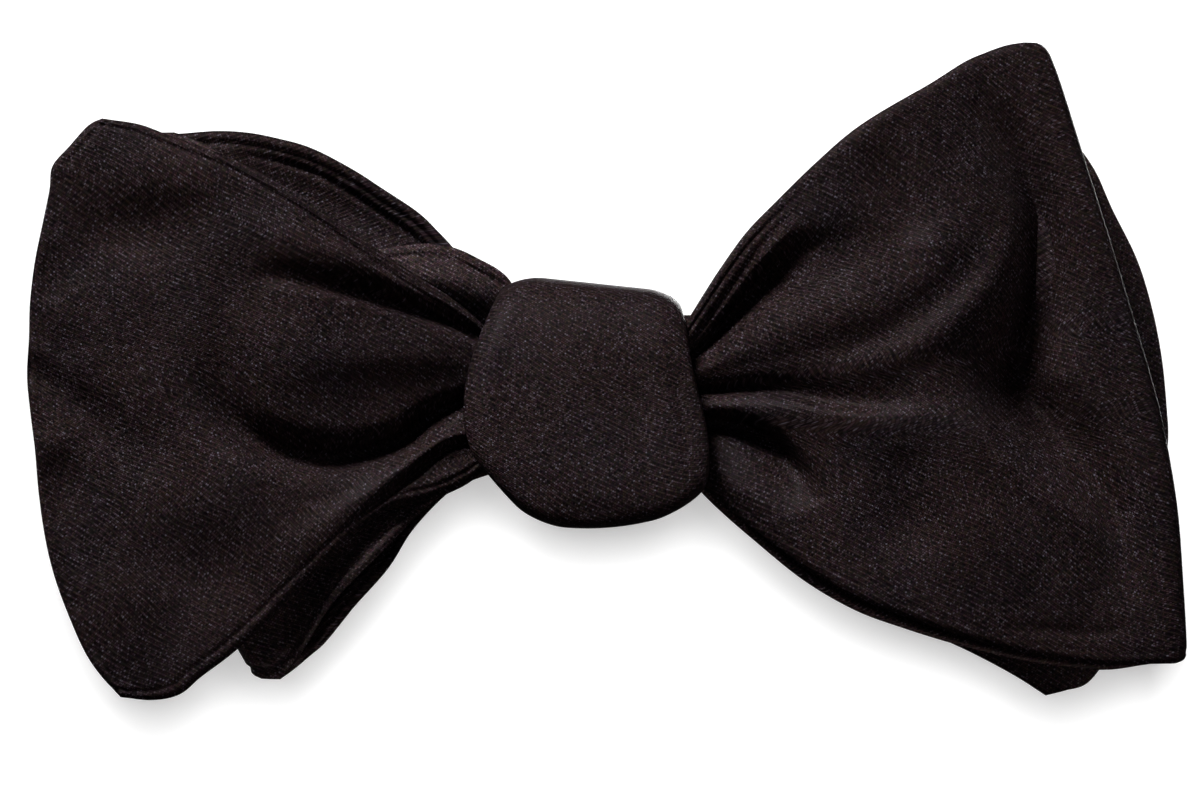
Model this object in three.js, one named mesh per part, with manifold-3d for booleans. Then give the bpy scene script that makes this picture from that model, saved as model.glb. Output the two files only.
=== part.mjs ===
// Self-tied butterfly bow tie on its adjustable neckband.
// Millimetres, +Z up. The bow faces -Y, and the origin is the middle of the neckband loop.

import * as THREE from 'three';
import { mergeVertices } from 'three/addons/utils/BufferGeometryUtils.js';
import Module from 'manifold-3d';

const wasm = await Module();
wasm.setup();

// ---------- driving dimensions ----------

// cloth
const CLOTH = 0.5; // one ply of satin
const INTERLINING = 0.4;
const GAP = 0.3; // between pieces that touch
const HALF_STACK = CLOTH + GAP + INTERLINING / 2; // half of cloth, interlining, cloth
const INNER_FACE = HALF_STACK - CLOTH;

// neckband loop, a rounded rectangle in plan, measured to the middle of its thickness
const LOOP_HALF_WIDTH = 50;
const LOOP_HALF_DEPTH = 65;
const LOOP_CORNER = 38;
const BAND_HEIGHT = 16;
const BAND_MIDDLE_Z = 0.9;

// bow, measured from the middle of the knot
const KNOT_MIDDLE_Y = -72.3;
const KNOT_HALF_DEPTH = 11.2;
const KNOT_HALF_HEIGHT = 13.1;
const KNOT_CORNER = 5.5;
const WRAP_OUTER_PLY = 1.2;
const WRAP_LINING_PLY = 1.0;
const NECK_X = 9.8; // where the wings start, inside the wrap
const NECK_HALF_HEIGHT = 7.8;

// adjuster strap and its metal fittings
const STRAP_THICKNESS = 0.8;
const STRAP_HEIGHT = 14;
const RUN_MIDDLE = 0.6; // each run of the strap, from the middle of the loop's thickness
const METAL = 0.8;
const FITTING_HALF_HEIGHT = 8.3;
const STRAP_SLOT_HALF_HEIGHT = 7.3;
const FABRIC_BAR = 1.5;
const HOOK_BAR_X = -10.75;
const EYE_BAR_X = 10.4;
const SLIDER_AT = 100; // along the loop from the knot
const SLIDER_LENGTH = 12;

// ---------- materials ----------

const satin = (colour) => new THREE.MeshStandardMaterial({ color: colour, roughness: 0.45, metalness: 0 });
const canvas = () => new THREE.MeshStandardMaterial({ color: 0xd8d2c4, roughness: 0.95, metalness: 0 });
const nickel = () => new THREE.MeshStandardMaterial({ color: 0xb9bbbd, roughness: 0.25, metalness: 1 });
const SATIN_FACE = 0x2a2224;
const SATIN_SHADE = 0x211b1d;

const group = new THREE.Group();

// ---------- geometry helpers ----------

// merged vertices and faces that point out
function closedBody(geometry) {
  const bare = geometry.index ? geometry.clone() : geometry;
  bare.deleteAttribute('normal');
  bare.deleteAttribute('uv');
  bare.clearGroups();
  const body = mergeVertices(bare, 1e-4);
  const p = body.attributes.position;
  const index = body.index.array;
  const corner = [new THREE.Vector3(), new THREE.Vector3(), new THREE.Vector3()];
  let volume = 0;
  for (let i = 0; i < index.length; i += 3) {
    corner.forEach((c, k) => c.fromBufferAttribute(p, index[i + k]));
    volume += corner[0].dot(corner[1].cross(corner[2]));
  }
  if (volume < 0) {
    for (let i = 0; i < index.length; i += 3) {
      [index[i + 1], index[i + 2]] = [index[i + 2], index[i + 1]];
    }
  }
  body.computeVertexNormals();
  return body;
}

function addPiece(name, geometry, material) {
  const mesh = new THREE.Mesh(closedBody(geometry), material);
  mesh.name = name;
  group.add(mesh);
  return mesh;
}

function toManifold(geometry) {
  const body = closedBody(geometry);
  return new wasm.Manifold(new wasm.Mesh({
    numProp: 3,
    vertProperties: new Float32Array(body.attributes.position.array),
    triVerts: new Uint32Array(body.index.array),
  }));
}

function fromManifold(solid) {
  const mesh = solid.getMesh();
  const geometry = new THREE.BufferGeometry();
  geometry.setAttribute('position', new THREE.BufferAttribute(new Float32Array(mesh.vertProperties), 3));
  geometry.setIndex(new THREE.BufferAttribute(new Uint32Array(mesh.triVerts), 1));
  return geometry;
}

// a box between two corners
function block(low, high) {
  const size = high.map((h, i) => h - low[i]);
  const box = new THREE.BoxGeometry(...size);
  box.translate(...high.map((h, i) => (h + low[i]) / 2));
  return box;
}

const lerp = THREE.MathUtils.lerp;
const smooth = (t) => THREE.MathUtils.smoothstep(t, 0, 1);

// ---------- wings ----------

// An outline is four curves in X and Z, each a list of points: bottom and top run from the
// knot to the wing's end, and end runs from bottom to top.
function patch(outline) {
  const curve = (points) => new THREE.SplineCurve(points.map(([x, z]) => new THREE.Vector2(x, z)));
  const neck = curve([outline.bottom[0], outline.top[0]]);
  const bottom = curve(outline.bottom);
  const top = curve(outline.top);
  const end = curve(outline.end);
  return (u, v) => {
    const b = bottom.getPointAt(u);
    const t = top.getPointAt(u);
    const n = neck.getPointAt(v);
    const e = end.getPointAt(v);
    const axis = (k) => {
      const low = lerp(bottom.getPoint(0)[k], bottom.getPoint(1)[k], u);
      const high = lerp(top.getPoint(0)[k], top.getPoint(1)[k], u);
      return lerp(b[k], t[k], v) + lerp(n[k], e[k], u) - lerp(low, high, v);
    };
    return [axis('x'), axis('y')];
  };
}

// Pleats fan out from the knot. Each is [v at the knot, v at the wing's end, width in v,
// depth towards +Y in mm, u where it is deepest].
function pleatDepth(pleats, u, v) {
  return pleats.reduce((sum, [vKnot, vEnd, width, depth, peak]) => {
    const across = (v - lerp(vKnot, vEnd, u)) / width;
    const along = u < peak ? smooth(u / peak) : 1 - smooth((u - peak) / (1 - peak));
    return sum + depth * Math.exp(-across * across) * along;
  }, 0);
}

// y of a limb's middle surface: at the knot, half way out and at the wing's end
function limbDepth(limb, u, v) {
  const [knot, middle, end] = limb.y;
  const profile = u < 0.5 ? lerp(knot, middle, smooth(u * 2)) : lerp(middle, end, smooth(u * 2 - 1));
  return profile + pleatDepth(limb.pleats, u, v);
}

// one ply of a flat blade, between two distances in front of its middle surface
function bladePly(limb, back, front) {
  const [along, across] = [10, 9];
  const place = patch(limb.outline);
  const box = new THREE.BoxGeometry(1, 1, 1, along, across, 1);
  const p = box.attributes.position;
  for (let i = 0; i < p.count; i++) {
    const u = p.getX(i) + 0.5;
    const v = p.getY(i) + 0.5;
    const [x, z] = place(u, v);
    p.setXYZ(i, x, limbDepth(limb, u, v) - lerp(back, front, p.getZ(i) + 0.5), z);
  }
  return box;
}

// One ply of a folded loop: the front limb, the fold round its end, and the rear limb.
// side is +1 on the right and -1 on the left.
function loopPly(loop, side, inside, outside) {
  const [limbSteps, foldSteps, across] = [9, 4, 8];
  const total = 2 * limbSteps + foldSteps;
  const front = patch(loop.front.outline);
  const rear = patch(loop.rear.outline);
  const box = new THREE.BoxGeometry(1, 1, 1, total, across, 1);
  const p = box.attributes.position;
  for (let i = 0; i < p.count; i++) {
    const step = (p.getX(i) + 0.5) * total;
    const v = p.getY(i) + 0.5;
    const offset = lerp(inside, outside, p.getZ(i) + 0.5);
    const fold = THREE.MathUtils.clamp((step - limbSteps) / foldSteps, 0, 1);
    if (step <= limbSteps) {
      const u = step / limbSteps;
      const [x, z] = front(u, v);
      p.setXYZ(i, x, limbDepth(loop.front, u, v) - offset, z);
    } else if (fold === 1) {
      const u = (total - step) / limbSteps;
      const [x, z] = rear(u, v);
      p.setXYZ(i, x, limbDepth(loop.rear, u, v) + offset, z);
    } else {
      const turn = fold * Math.PI;
      const [xFront, zFront] = front(1, v);
      const [xRear, zRear] = rear(1, v);
      const yFront = limbDepth(loop.front, 1, v);
      const yRear = limbDepth(loop.rear, 1, v);
      const radius = (yRear - yFront) / 2 + offset;
      const x = lerp(xFront, xRear, fold) + side * radius * Math.sin(turn);
      p.setXYZ(i, x, (yFront + yRear) / 2 - radius * Math.cos(turn), lerp(zFront, zRear, fold));
    }
  }
  return box;
}

const PLIES = [
  { on: { blade: 'face', strip: 'outer_cloth' }, from: INNER_FACE, to: HALF_STACK, material: () => satin(SATIN_FACE) },
  { on: { blade: 'interlining', strip: 'interlining' }, from: -INTERLINING / 2, to: INTERLINING / 2, material: canvas },
  { on: { blade: 'back', strip: 'inner_cloth' }, from: -HALF_STACK, to: -INNER_FACE, material: () => satin(SATIN_SHADE) },
];

function addBlade(name, limb) {
  for (const { on, from, to, material } of PLIES) {
    addPiece(`${name}_${on.blade}`, bladePly(limb, from, to), material());
  }
}

function addLoop(name, loop, side) {
  for (const { on, from, to, material } of PLIES) {
    addPiece(`${name}_${on.strip}`, loopPly(loop, side, from, to), material());
  }
}

// front left: the blade end of the front bow, with its corners turned under
const frontLeftBlade = {
  outline: {
    bottom: [[-NECK_X, -NECK_HALF_HEIGHT + 0.6], [-16.4, -8.8], [-21.1, -11.4], [-29.4, -19.1], [-36.4, -26.1], [-41.8, -30.2],
      [-47.8, -30.5]],
    top: [[-NECK_X, NECK_HALF_HEIGHT - 1], [-14.9, 10.3], [-22.7, 14], [-31, 20.4], [-39.7, 24.8], [-49.9, 28.8]],
    end: [[-47.8, -30.5], [-51.4, -26], [-54.6, -18.6], [-56.3, -8], [-57.4, 3], [-56.9, 13], [-55, 22.5], [-49.9, 28.8]],
  },
  y: [-77.1, -81.5, -80],
  pleats: [[0.88, 0.75, 0.16, 1.4, 0.35], [0.26, 0.22, 0.16, 1.8, 0.4], [0.55, 0.5, 0.2, -1.4, 0.4]],
};

// front right: the folded loop of the front bow
const FRONT_FOLD_INSET = 3.2;
const frontRightLoop = {
  front: {
    outline: {
      bottom: [[NECK_X, -NECK_HALF_HEIGHT], [13.5, -10.3], [22.3, -17.1], [32.7, -22.4], [43, -25.6], [61.1 - FRONT_FOLD_INSET, -27]],
      top: [[NECK_X, NECK_HALF_HEIGHT], [12.6, 11.4], [19.2, 20.2], [27.5, 27.8], [38.9, 34.4], [46.6 - FRONT_FOLD_INSET, 36.1]],
      end: [[61.1, -27], [60.8, -12], [58.6, 0], [53.4, 17.6], [46.6, 36.1]].map(([x, z]) => [x - FRONT_FOLD_INSET, z]),
    },
    y: [-78.4, -85, -82.5],
    pleats: [[0.86, 0.8, 0.16, 1.5, 0.35], [0.5, 0.52, 0.16, 1.5, 0.5], [0.2, 0.28, 0.16, 1.4, 0.35]],
  },
  rear: {
    outline: {
      bottom: [[NECK_X, -NECK_HALF_HEIGHT], [13.5, -10.5], [22.3, -17.9], [32.7, -23.2], [43, -26.4], [61.1 - FRONT_FOLD_INSET, -27]],
      top: [[NECK_X, NECK_HALF_HEIGHT], [12.9, 11], [19.8, 19.4], [28, 26.9], [38.9, 33.4], [46.6 - FRONT_FOLD_INSET, 36.1]],
      end: [[61.1, -27], [60.8, -12], [58.6, 0], [53.4, 17.6], [46.6, 36.1]].map(([x, z]) => [x - FRONT_FOLD_INSET, z]),
    },
    y: [-75.3, -77, -78.1],
    pleats: [],
  },
};

// rear left: the folded loop of the rear bow
const REAR_FOLD_INSET = 3.2;
const rearLeftEnd = [[-33.9, -28.2], [-40, -20], [-46.5, 0], [-46.5, 15], [-43.5, 27.7]].map(([x, z]) => [x + REAR_FOLD_INSET, z]);
const rearLeftLoop = {
  front: {
    outline: {
      bottom: [[-NECK_X, -NECK_HALF_HEIGHT], [-15.5, -9.5], [-22.1, -17.6], [-27, -22.6], rearLeftEnd[0]],
      top: [[-NECK_X, NECK_HALF_HEIGHT], [-13.5, 14.2], [-20, 15.2], [-27, 16.5], [-34, 21.5], rearLeftEnd.at(-1)],
      end: rearLeftEnd,
    },
    y: [-72, -74.6, -72.5],
    pleats: [],
  },
  rear: {
    outline: {
      bottom: [[-NECK_X, -NECK_HALF_HEIGHT], [-14.9, -10], [-20.1, -16.6], [-25.8, -23.4], rearLeftEnd[0]],
      top: [[-NECK_X, NECK_HALF_HEIGHT], [-14.4, 16], [-21.1, 21.7], [-29.5, 26.3], [-35.6, 27.7], rearLeftEnd.at(-1)],
      end: rearLeftEnd,
    },
    y: [-68.6, -67.6, -68.1],
    pleats: [],
  },
};

// rear right: the blade end of the rear bow
const rearRightBlade = {
  outline: {
    bottom: [[NECK_X, -NECK_HALF_HEIGHT], [15.5, -11], [28, -19.5], [39.9, -26.1], [44.6, -28.9], [48.2, -30.5]],
    top: [[NECK_X, NECK_HALF_HEIGHT], [20, 16], [33, 24], [42, 27.8], [47.5, 28]],
    end: [[48.2, -30.5], [52, -28.8], [57, -20], [60, -7], [59.6, 4.1], [57, 14.5], [52.6, 23.8], [47.5, 28]],
  },
  y: [-70.4, -72.4, -71.5],
  pleats: [[0.5, 0.5, 0.2, -1, 0.5]],
};

addBlade('front_left_blade', frontLeftBlade);
addLoop('front_right_loop', frontRightLoop, 1);
addLoop('rear_left_loop', rearLeftLoop, -1);
addBlade('rear_right_blade', rearRightBlade);

// ---------- knot ----------

// The gathered middle of a bow: its cloth in soft pleats, seen along X.
function gather(y, halfDepth, halfHeight) {
  const steps = 36;
  const shape = new THREE.Shape();
  const PLEATS = 9;
  for (let i = 0; i < steps; i++) {
    const turn = (i / steps) * 2 * Math.PI;
    const round = (t) => Math.sign(t) * Math.sqrt(Math.abs(t));
    const ripple = 1 - 0.05 * (1 + Math.cos(PLEATS * turn));
    const point = [ripple * halfDepth * round(Math.cos(turn)), ripple * halfHeight * round(Math.sin(turn))];
    if (i === 0) shape.moveTo(...point);
    else shape.lineTo(...point);
  }
  shape.closePath();
  const length = 2 * (NECK_X - GAP);
  const body = new THREE.ExtrudeGeometry(shape, { depth: length, bevelEnabled: false });
  body.translate(0, 0, -length / 2);
  body.applyMatrix4(new THREE.Matrix4().makeBasis(
    new THREE.Vector3(0, 1, 0), new THREE.Vector3(0, 0, 1), new THREE.Vector3(1, 0, 0)));
  body.translate(0, y, 0);
  return body;
}

const GATHER_HALF_DEPTH = 3.1;
addPiece('front_bow_gather', gather(-77.2, GATHER_HALF_DEPTH, NECK_HALF_HEIGHT), satin(SATIN_SHADE));
addPiece('rear_bow_gather', gather(-70.3, GATHER_HALF_DEPTH, NECK_HALF_HEIGHT), satin(SATIN_SHADE));

function roundedRectangle(halfDepth, halfHeight, corner, path) {
  const [y, z] = [halfDepth - corner, halfHeight - corner];
  path.moveTo(halfDepth, -z);
  path.lineTo(halfDepth, z);
  path.absarc(y, z, corner, 0, Math.PI / 2);
  path.lineTo(-y, halfHeight);
  path.absarc(-y, z, corner, Math.PI / 2, Math.PI);
  path.lineTo(-halfDepth, -z);
  path.absarc(-y, -z, corner, Math.PI, 1.5 * Math.PI);
  path.lineTo(y, -halfHeight);
  path.absarc(y, -z, corner, 1.5 * Math.PI, 2 * Math.PI);
  return path;
}

// the knot leans: its edges are bowed, widest low down
const knotLeft = (z) => -12.4 + 0.022 * (z + 3) ** 2;
const knotRight = (z) => 12.4 - 0.0125 * (z + 6) ** 2;

// a sleeve of cloth round the gathers and the band, open to the left and right
function sleeve(outer, thickness, edgeInset) {
  const shape = roundedRectangle(KNOT_HALF_DEPTH - outer, KNOT_HALF_HEIGHT - outer, KNOT_CORNER - outer, new THREE.Shape());
  const inner = outer + thickness;
  shape.holes.push(
    roundedRectangle(KNOT_HALF_DEPTH - inner, KNOT_HALF_HEIGHT - inner, KNOT_CORNER - inner, new THREE.Path()));
  const body = new THREE.ExtrudeGeometry(shape, { depth: 1, steps: 2, curveSegments: 6, bevelEnabled: false });
  body.applyMatrix4(new THREE.Matrix4().makeBasis(
    new THREE.Vector3(0, 1, 0), new THREE.Vector3(0, 0, 1), new THREE.Vector3(1, 0, 0)));
  const p = body.attributes.position;
  for (let i = 0; i < p.count; i++) {
    const z = p.getZ(i);
    p.setX(i, lerp(knotLeft(z) + edgeInset, knotRight(z) - edgeInset, p.getX(i)));
    p.setY(i, p.getY(i) + KNOT_MIDDLE_Y);
  }
  return body;
}

addPiece('knot_wrap', sleeve(0, WRAP_OUTER_PLY, 0), satin(SATIN_FACE));
addPiece('knot_lining', sleeve(WRAP_OUTER_PLY + GAP, WRAP_LINING_PLY, 0.6), satin(SATIN_SHADE));

// ---------- neckband ----------

// The loop's lengths from the knot: the front straight, the corner, the side and the corner.
const FRONT_STRAIGHT = LOOP_HALF_WIDTH - LOOP_CORNER;
const CORNER_LENGTH = (Math.PI / 2) * LOOP_CORNER;
const SIDE_STRAIGHT = 2 * (LOOP_HALF_DEPTH - LOOP_CORNER);
const HALF_LOOP = 2 * FRONT_STRAIGHT + 2 * CORNER_LENGTH + SIDE_STRAIGHT;

// a point on the loop: s from the knot, positive to the right, and n outward from the middle
function onLoop(s, n) {
  const side = Math.sign(s) || 1;
  const fromFront = Math.abs(s);
  const front = fromFront <= HALF_LOOP / 2;
  const t = front ? fromFront : HALF_LOOP - fromFront;
  const turn = THREE.MathUtils.clamp((t - FRONT_STRAIGHT) / LOOP_CORNER, 0, Math.PI / 2);
  const alongX = Math.min(t, FRONT_STRAIGHT);
  const alongY = Math.max(t - FRONT_STRAIGHT - CORNER_LENGTH, 0);
  const x = alongX + (LOOP_CORNER + n) * Math.sin(turn);
  const y = (LOOP_HALF_DEPTH - LOOP_CORNER) - alongY + (LOOP_CORNER + n) * Math.cos(turn);
  return new THREE.Vector2(side * x, front ? -y : y);
}

// a strip that follows the loop, from an outline in s and n, standing along Z
function bentStrip(outline, height) {
  const points = outline.map(([s, n]) => onLoop(s, n));
  const shape = new THREE.Shape(points);
  const body = new THREE.ExtrudeGeometry(shape, { depth: height, bevelEnabled: false });
  body.translate(0, 0, BAND_MIDDLE_Z - height / 2);
  return body;
}

// lengths along the loop from one place to another, a step every few millimetres
function stations(from, to) {
  const STEP = 7;
  const count = Math.max(1, Math.ceil(Math.abs(to - from) / STEP));
  return Array.from({ length: count + 1 }, (_, i) => lerp(from, to, i / count));
}

function flatStrip(from, to, inner, outer, height) {
  const there = stations(from, to).map((s) => [s, outer]);
  const back = stations(to, from).map((s) => [s, inner]);
  return bentStrip([...there, ...back], height);
}

const BAND_START = GAP / 2;
const LEFT_BAND_END = 76;
const RIGHT_BAND_END = HALF_LOOP - 18;

function addBand(name, side, end) {
  for (const { on, from, to, material } of PLIES) {
    const height = on.strip === 'interlining' ? BAND_HEIGHT - 2 : BAND_HEIGHT;
    addPiece(`${name}_${on.strip}`, flatStrip(side * BAND_START, side * end, from, to, height), material());
  }
}

addBand('neckband_left', -1, LEFT_BAND_END);
addBand('neckband_right', 1, RIGHT_BAND_END);

// ---------- adjuster strap ----------

// A strip folded round a bar. It runs in at one side of the loop's middle, turns round the
// bar and runs back on the other side. away is the direction in s from the bar to the runs.
function hairpin(barAt, away, innerRadius, runs, height) {
  const radius = innerRadius + STRAP_THICKNESS / 2;
  const turnSteps = 8;
  const middle = [...runs.map(([distance, n]) => [barAt + away * distance, n])];
  for (let i = 0; i <= turnSteps; i++) {
    const turn = (i / turnSteps) * Math.PI;
    middle.push([barAt - away * radius * Math.sin(turn), radius * Math.cos(turn)]);
  }
  middle.push(...runs.toReversed().map(([distance, n]) => [barAt + away * distance, -n]));
  const offset = (distance) => middle.map((point, i) => {
    const before = middle[Math.max(i - 1, 0)];
    const after = middle[Math.min(i + 1, middle.length - 1)];
    const tangent = new THREE.Vector2(after[0] - before[0], after[1] - before[1]).normalize();
    return [point[0] - distance * tangent.y, point[1] + distance * tangent.x];
  });
  const half = STRAP_THICKNESS / 2;
  return bentStrip([...offset(half), ...offset(-half).toReversed()], height);
}

const FOLD_INNER_RADIUS = 1.15;
const FOLD_LENGTH = 18;
const STRAP_SPLIT = HALF_LOOP + HOOK_BAR_X - FOLD_LENGTH; // where the fold meets the two runs
const TAIL_END = 84;
const foldMiddle = FOLD_INNER_RADIUS + STRAP_THICKNESS / 2;
const foldRuns = [[FOLD_LENGTH, RUN_MIDDLE], [FOLD_LENGTH / 2, RUN_MIDDLE], [2, foldMiddle]];
const runBand = [RUN_MIDDLE - STRAP_THICKNESS / 2, RUN_MIDDLE + STRAP_THICKNESS / 2];

addPiece('strap_main_run',
  flatStrip(-(LEFT_BAND_END + GAP), -(STRAP_SPLIT - GAP), -runBand[1], -runBand[0], STRAP_HEIGHT), satin(SATIN_FACE));
addPiece('strap_tail_run',
  flatStrip(-TAIL_END, -(STRAP_SPLIT - GAP), runBand[0], runBand[1], STRAP_HEIGHT), satin(SATIN_FACE));
addPiece('strap_fold',
  hairpin(-(HALF_LOOP + HOOK_BAR_X), 1, FOLD_INNER_RADIUS, foldRuns, STRAP_HEIGHT), satin(SATIN_FACE));

// the tab that holds the eye straddles the right band's end
const TAB_INNER_RADIUS = 1.3;
const tabRuns = [[16, TAB_INNER_RADIUS + STRAP_THICKNESS / 2], [8, TAB_INNER_RADIUS + STRAP_THICKNESS / 2],
  [2, TAB_INNER_RADIUS + STRAP_THICKNESS / 2]];
addPiece('eye_tab',
  hairpin(HALF_LOOP - EYE_BAR_X, -1, TAB_INNER_RADIUS, tabRuns, STRAP_HEIGHT), satin(SATIN_FACE));

// ---------- stitching ----------

function barTack(s, n) {
  const THREAD = 0.4;
  const HALF_WIDTH = 0.7;
  return flatStrip(s - HALF_WIDTH, s + HALF_WIDTH, n + GAP, n + GAP + THREAD, STRAP_HEIGHT - 2);
}

addPiece('eye_tab_bar_tack', barTack(HALF_LOOP - 24, TAB_INNER_RADIUS + STRAP_THICKNESS), satin(0x1a1517));
addPiece('band_end_bar_tack', barTack(-(LEFT_BAND_END - 3), HALF_STACK), satin(0x1a1517));

// ---------- metal fittings ----------

const BACK_Y = LOOP_HALF_DEPTH;
const zBand = (z) => BAND_MIDDLE_Z + z;
const TONGUE_HALF_HEIGHT = 4.2;

// The eye: a flat frame with a slot for the tab and a slot for the hook's tongue.
function eye() {
  const THICKNESS = 1;
  const [left, right] = [-1.5, EYE_BAR_X + FABRIC_BAR / 2];
  const frame = toManifold(block(
    [left, BACK_Y - THICKNESS / 2, zBand(-FITTING_HALF_HEIGHT)],
    [right, BACK_Y + THICKNESS / 2, zBand(FITTING_HALF_HEIGHT)]));
  const tabSlot = toManifold(block(
    [7.2, BACK_Y - THICKNESS, zBand(-STRAP_SLOT_HALF_HEIGHT)],
    [right - FABRIC_BAR, BACK_Y + THICKNESS, zBand(STRAP_SLOT_HALF_HEIGHT)]));
  const tongueSlot = toManifold(block(
    [0.3, BACK_Y - THICKNESS, zBand(-TONGUE_HALF_HEIGHT - 0.6)],
    [6.2, BACK_Y + THICKNESS, zBand(TONGUE_HALF_HEIGHT + 0.6)]));
  return fromManifold(frame.subtract(tabSlot).subtract(tongueSlot));
}

// The hook: a plate that steps outward over the eye's bar and turns back under it.
function hook() {
  const TURN_RADIUS = 1.25; // to the middle of the metal
  const TURN_X = 0;
  const BASE_END = HOOK_BAR_X - FABRIC_BAR / 2;
  const TONGUE_LENGTH = 3;
  const STEP_FROM = -7.6;
  const STEP_TO = -5.6;
  const middle = [[BASE_END, 0], [STEP_FROM, 0], [STEP_TO, TURN_RADIUS], [TURN_X, TURN_RADIUS]];
  const turnSteps = 8;
  for (let i = 1; i <= turnSteps; i++) {
    const turn = (i / turnSteps) * Math.PI;
    middle.push([TURN_X + TURN_RADIUS * Math.sin(turn), TURN_RADIUS * Math.cos(turn)]);
  }
  middle.push([TURN_X - TONGUE_LENGTH, -TURN_RADIUS]);
  const side = (distance) => middle.map(([x, y], i) => {
    const before = middle[Math.max(i - 1, 0)];
    const after = middle[Math.min(i + 1, middle.length - 1)];
    const tangent = new THREE.Vector2(after[0] - before[0], after[1] - before[1]).normalize();
    return new THREE.Vector2(x - distance * tangent.y, BACK_Y + y + distance * tangent.x);
  });
  const profile = new THREE.Shape([...side(METAL / 2), ...side(-METAL / 2).toReversed()]);
  const sheet = new THREE.ExtrudeGeometry(profile, { depth: 2 * FITTING_HALF_HEIGHT, bevelEnabled: false });
  sheet.translate(0, 0, zBand(-FITTING_HALF_HEIGHT));
  const notch = (low, high) => toManifold(block([STEP_TO + 0.8, BACK_Y - 5, low], [5, BACK_Y + 5, high]));
  const slot = toManifold(block(
    [HOOK_BAR_X + FABRIC_BAR / 2, BACK_Y - 2, zBand(-STRAP_SLOT_HALF_HEIGHT)],
    [STEP_FROM - 0.6, BACK_Y + 2, zBand(STRAP_SLOT_HALF_HEIGHT)]));
  return fromManifold(toManifold(sheet).subtract(slot)
    .subtract(notch(zBand(TONGUE_HALF_HEIGHT), zBand(FITTING_HALF_HEIGHT + 1)))
    .subtract(notch(zBand(-FITTING_HALF_HEIGHT - 1), zBand(-TONGUE_HALF_HEIGHT))));
}

// The slider: end bars outside both runs of the strap and a bowed middle bar inside them.
function slider() {
  const CLEAR = HALF_STACK + GAP;
  const BAR = 1.6;
  const [from, to] = [SLIDER_AT - SLIDER_LENGTH / 2, SLIDER_AT + SLIDER_LENGTH / 2];
  const y = (s) => s - FRONT_STRAIGHT - CORNER_LENGTH - SIDE_STRAIGHT / 2;
  const outsideX = -(LOOP_HALF_WIDTH + CLEAR);
  const insideX = -(LOOP_HALF_WIDTH - CLEAR);
  const plate = toManifold(block(
    [outsideX - METAL, y(from), zBand(-FITTING_HALF_HEIGHT)], [outsideX, y(to), zBand(FITTING_HALF_HEIGHT)]));
  const window = (a, b) => toManifold(block(
    [outsideX - 2 * METAL, y(a), zBand(-STRAP_SLOT_HALF_HEIGHT)], [outsideX + METAL, y(b), zBand(STRAP_SLOT_HALF_HEIGHT)]));
  const bow = toManifold(block(
    [outsideX - METAL / 2, y(SLIDER_AT - BAR / 2), zBand(-FITTING_HALF_HEIGHT)],
    [insideX + METAL, y(SLIDER_AT + BAR / 2), zBand(FITTING_HALF_HEIGHT)]));
  const passage = toManifold(block(
    [outsideX - 2 * METAL, y(SLIDER_AT - BAR), zBand(-STRAP_SLOT_HALF_HEIGHT)],
    [insideX, y(SLIDER_AT + BAR), zBand(STRAP_SLOT_HALF_HEIGHT)]));
  return fromManifold(plate.subtract(window(from + BAR, to - BAR)).add(bow.subtract(passage)));
}

addPiece('eye', eye(), nickel());
addPiece('hook', hook(), nickel());
addPiece('size_slider', slider(), nickel());

export default group;
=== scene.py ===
import math

import bmesh
import bpy
import numpy as np
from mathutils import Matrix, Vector


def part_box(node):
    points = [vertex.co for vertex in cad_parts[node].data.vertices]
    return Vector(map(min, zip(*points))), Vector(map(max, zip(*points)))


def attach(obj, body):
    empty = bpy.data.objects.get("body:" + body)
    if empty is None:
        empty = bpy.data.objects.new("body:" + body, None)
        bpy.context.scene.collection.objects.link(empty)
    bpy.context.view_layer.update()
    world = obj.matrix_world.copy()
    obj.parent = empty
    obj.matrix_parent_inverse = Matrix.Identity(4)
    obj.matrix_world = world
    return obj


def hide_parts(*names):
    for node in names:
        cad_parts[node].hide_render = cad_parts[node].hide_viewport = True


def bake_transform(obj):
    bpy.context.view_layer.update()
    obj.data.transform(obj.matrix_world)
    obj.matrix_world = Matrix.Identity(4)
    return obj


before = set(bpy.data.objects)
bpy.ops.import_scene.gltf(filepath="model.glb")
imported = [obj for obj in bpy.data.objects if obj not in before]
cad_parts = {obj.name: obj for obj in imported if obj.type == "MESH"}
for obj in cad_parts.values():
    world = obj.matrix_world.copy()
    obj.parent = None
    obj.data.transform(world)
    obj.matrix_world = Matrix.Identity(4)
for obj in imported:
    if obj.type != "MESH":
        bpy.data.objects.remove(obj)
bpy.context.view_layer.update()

# ---------------------------------------------------------------------------
# Sizes. The script works in millimetres in the row frame and turns them into
# metres as each mesh is made. Places come from the CAD nodes' boxes.
# ---------------------------------------------------------------------------

MM = 0.001


def box_mm(node):
    """The low and high corners of a CAD node's box, in millimetres."""
    low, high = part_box(node)
    return np.array(low) / MM, np.array(high) / MM


KNOT_LOW, KNOT_HIGH = box_mm("knot_wrap")
KNOT_MIDDLE_Y = (KNOT_LOW[1] + KNOT_HIGH[1]) / 2
KNOT_HALF_DEPTH = (KNOT_HIGH[1] - KNOT_LOW[1]) / 2
KNOT_HALF_HEIGHT = (KNOT_HIGH[2] - KNOT_LOW[2]) / 2
BOW_LEFT = box_mm("front_left_blade_face")[0][0]
BOW_RIGHT = box_mm("front_right_loop_outer_cloth")[1][0]

NECK_X = 9.8          # where the wings start, inside the knot
STACK_HALF = 0.95     # half the thickness of two cloths and their interlining
SEAM_HALF_GAP = 0.05  # the two cloths meet this close at a seam

# ---------------------------------------------------------------------------
# Curves and patches
# ---------------------------------------------------------------------------


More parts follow.
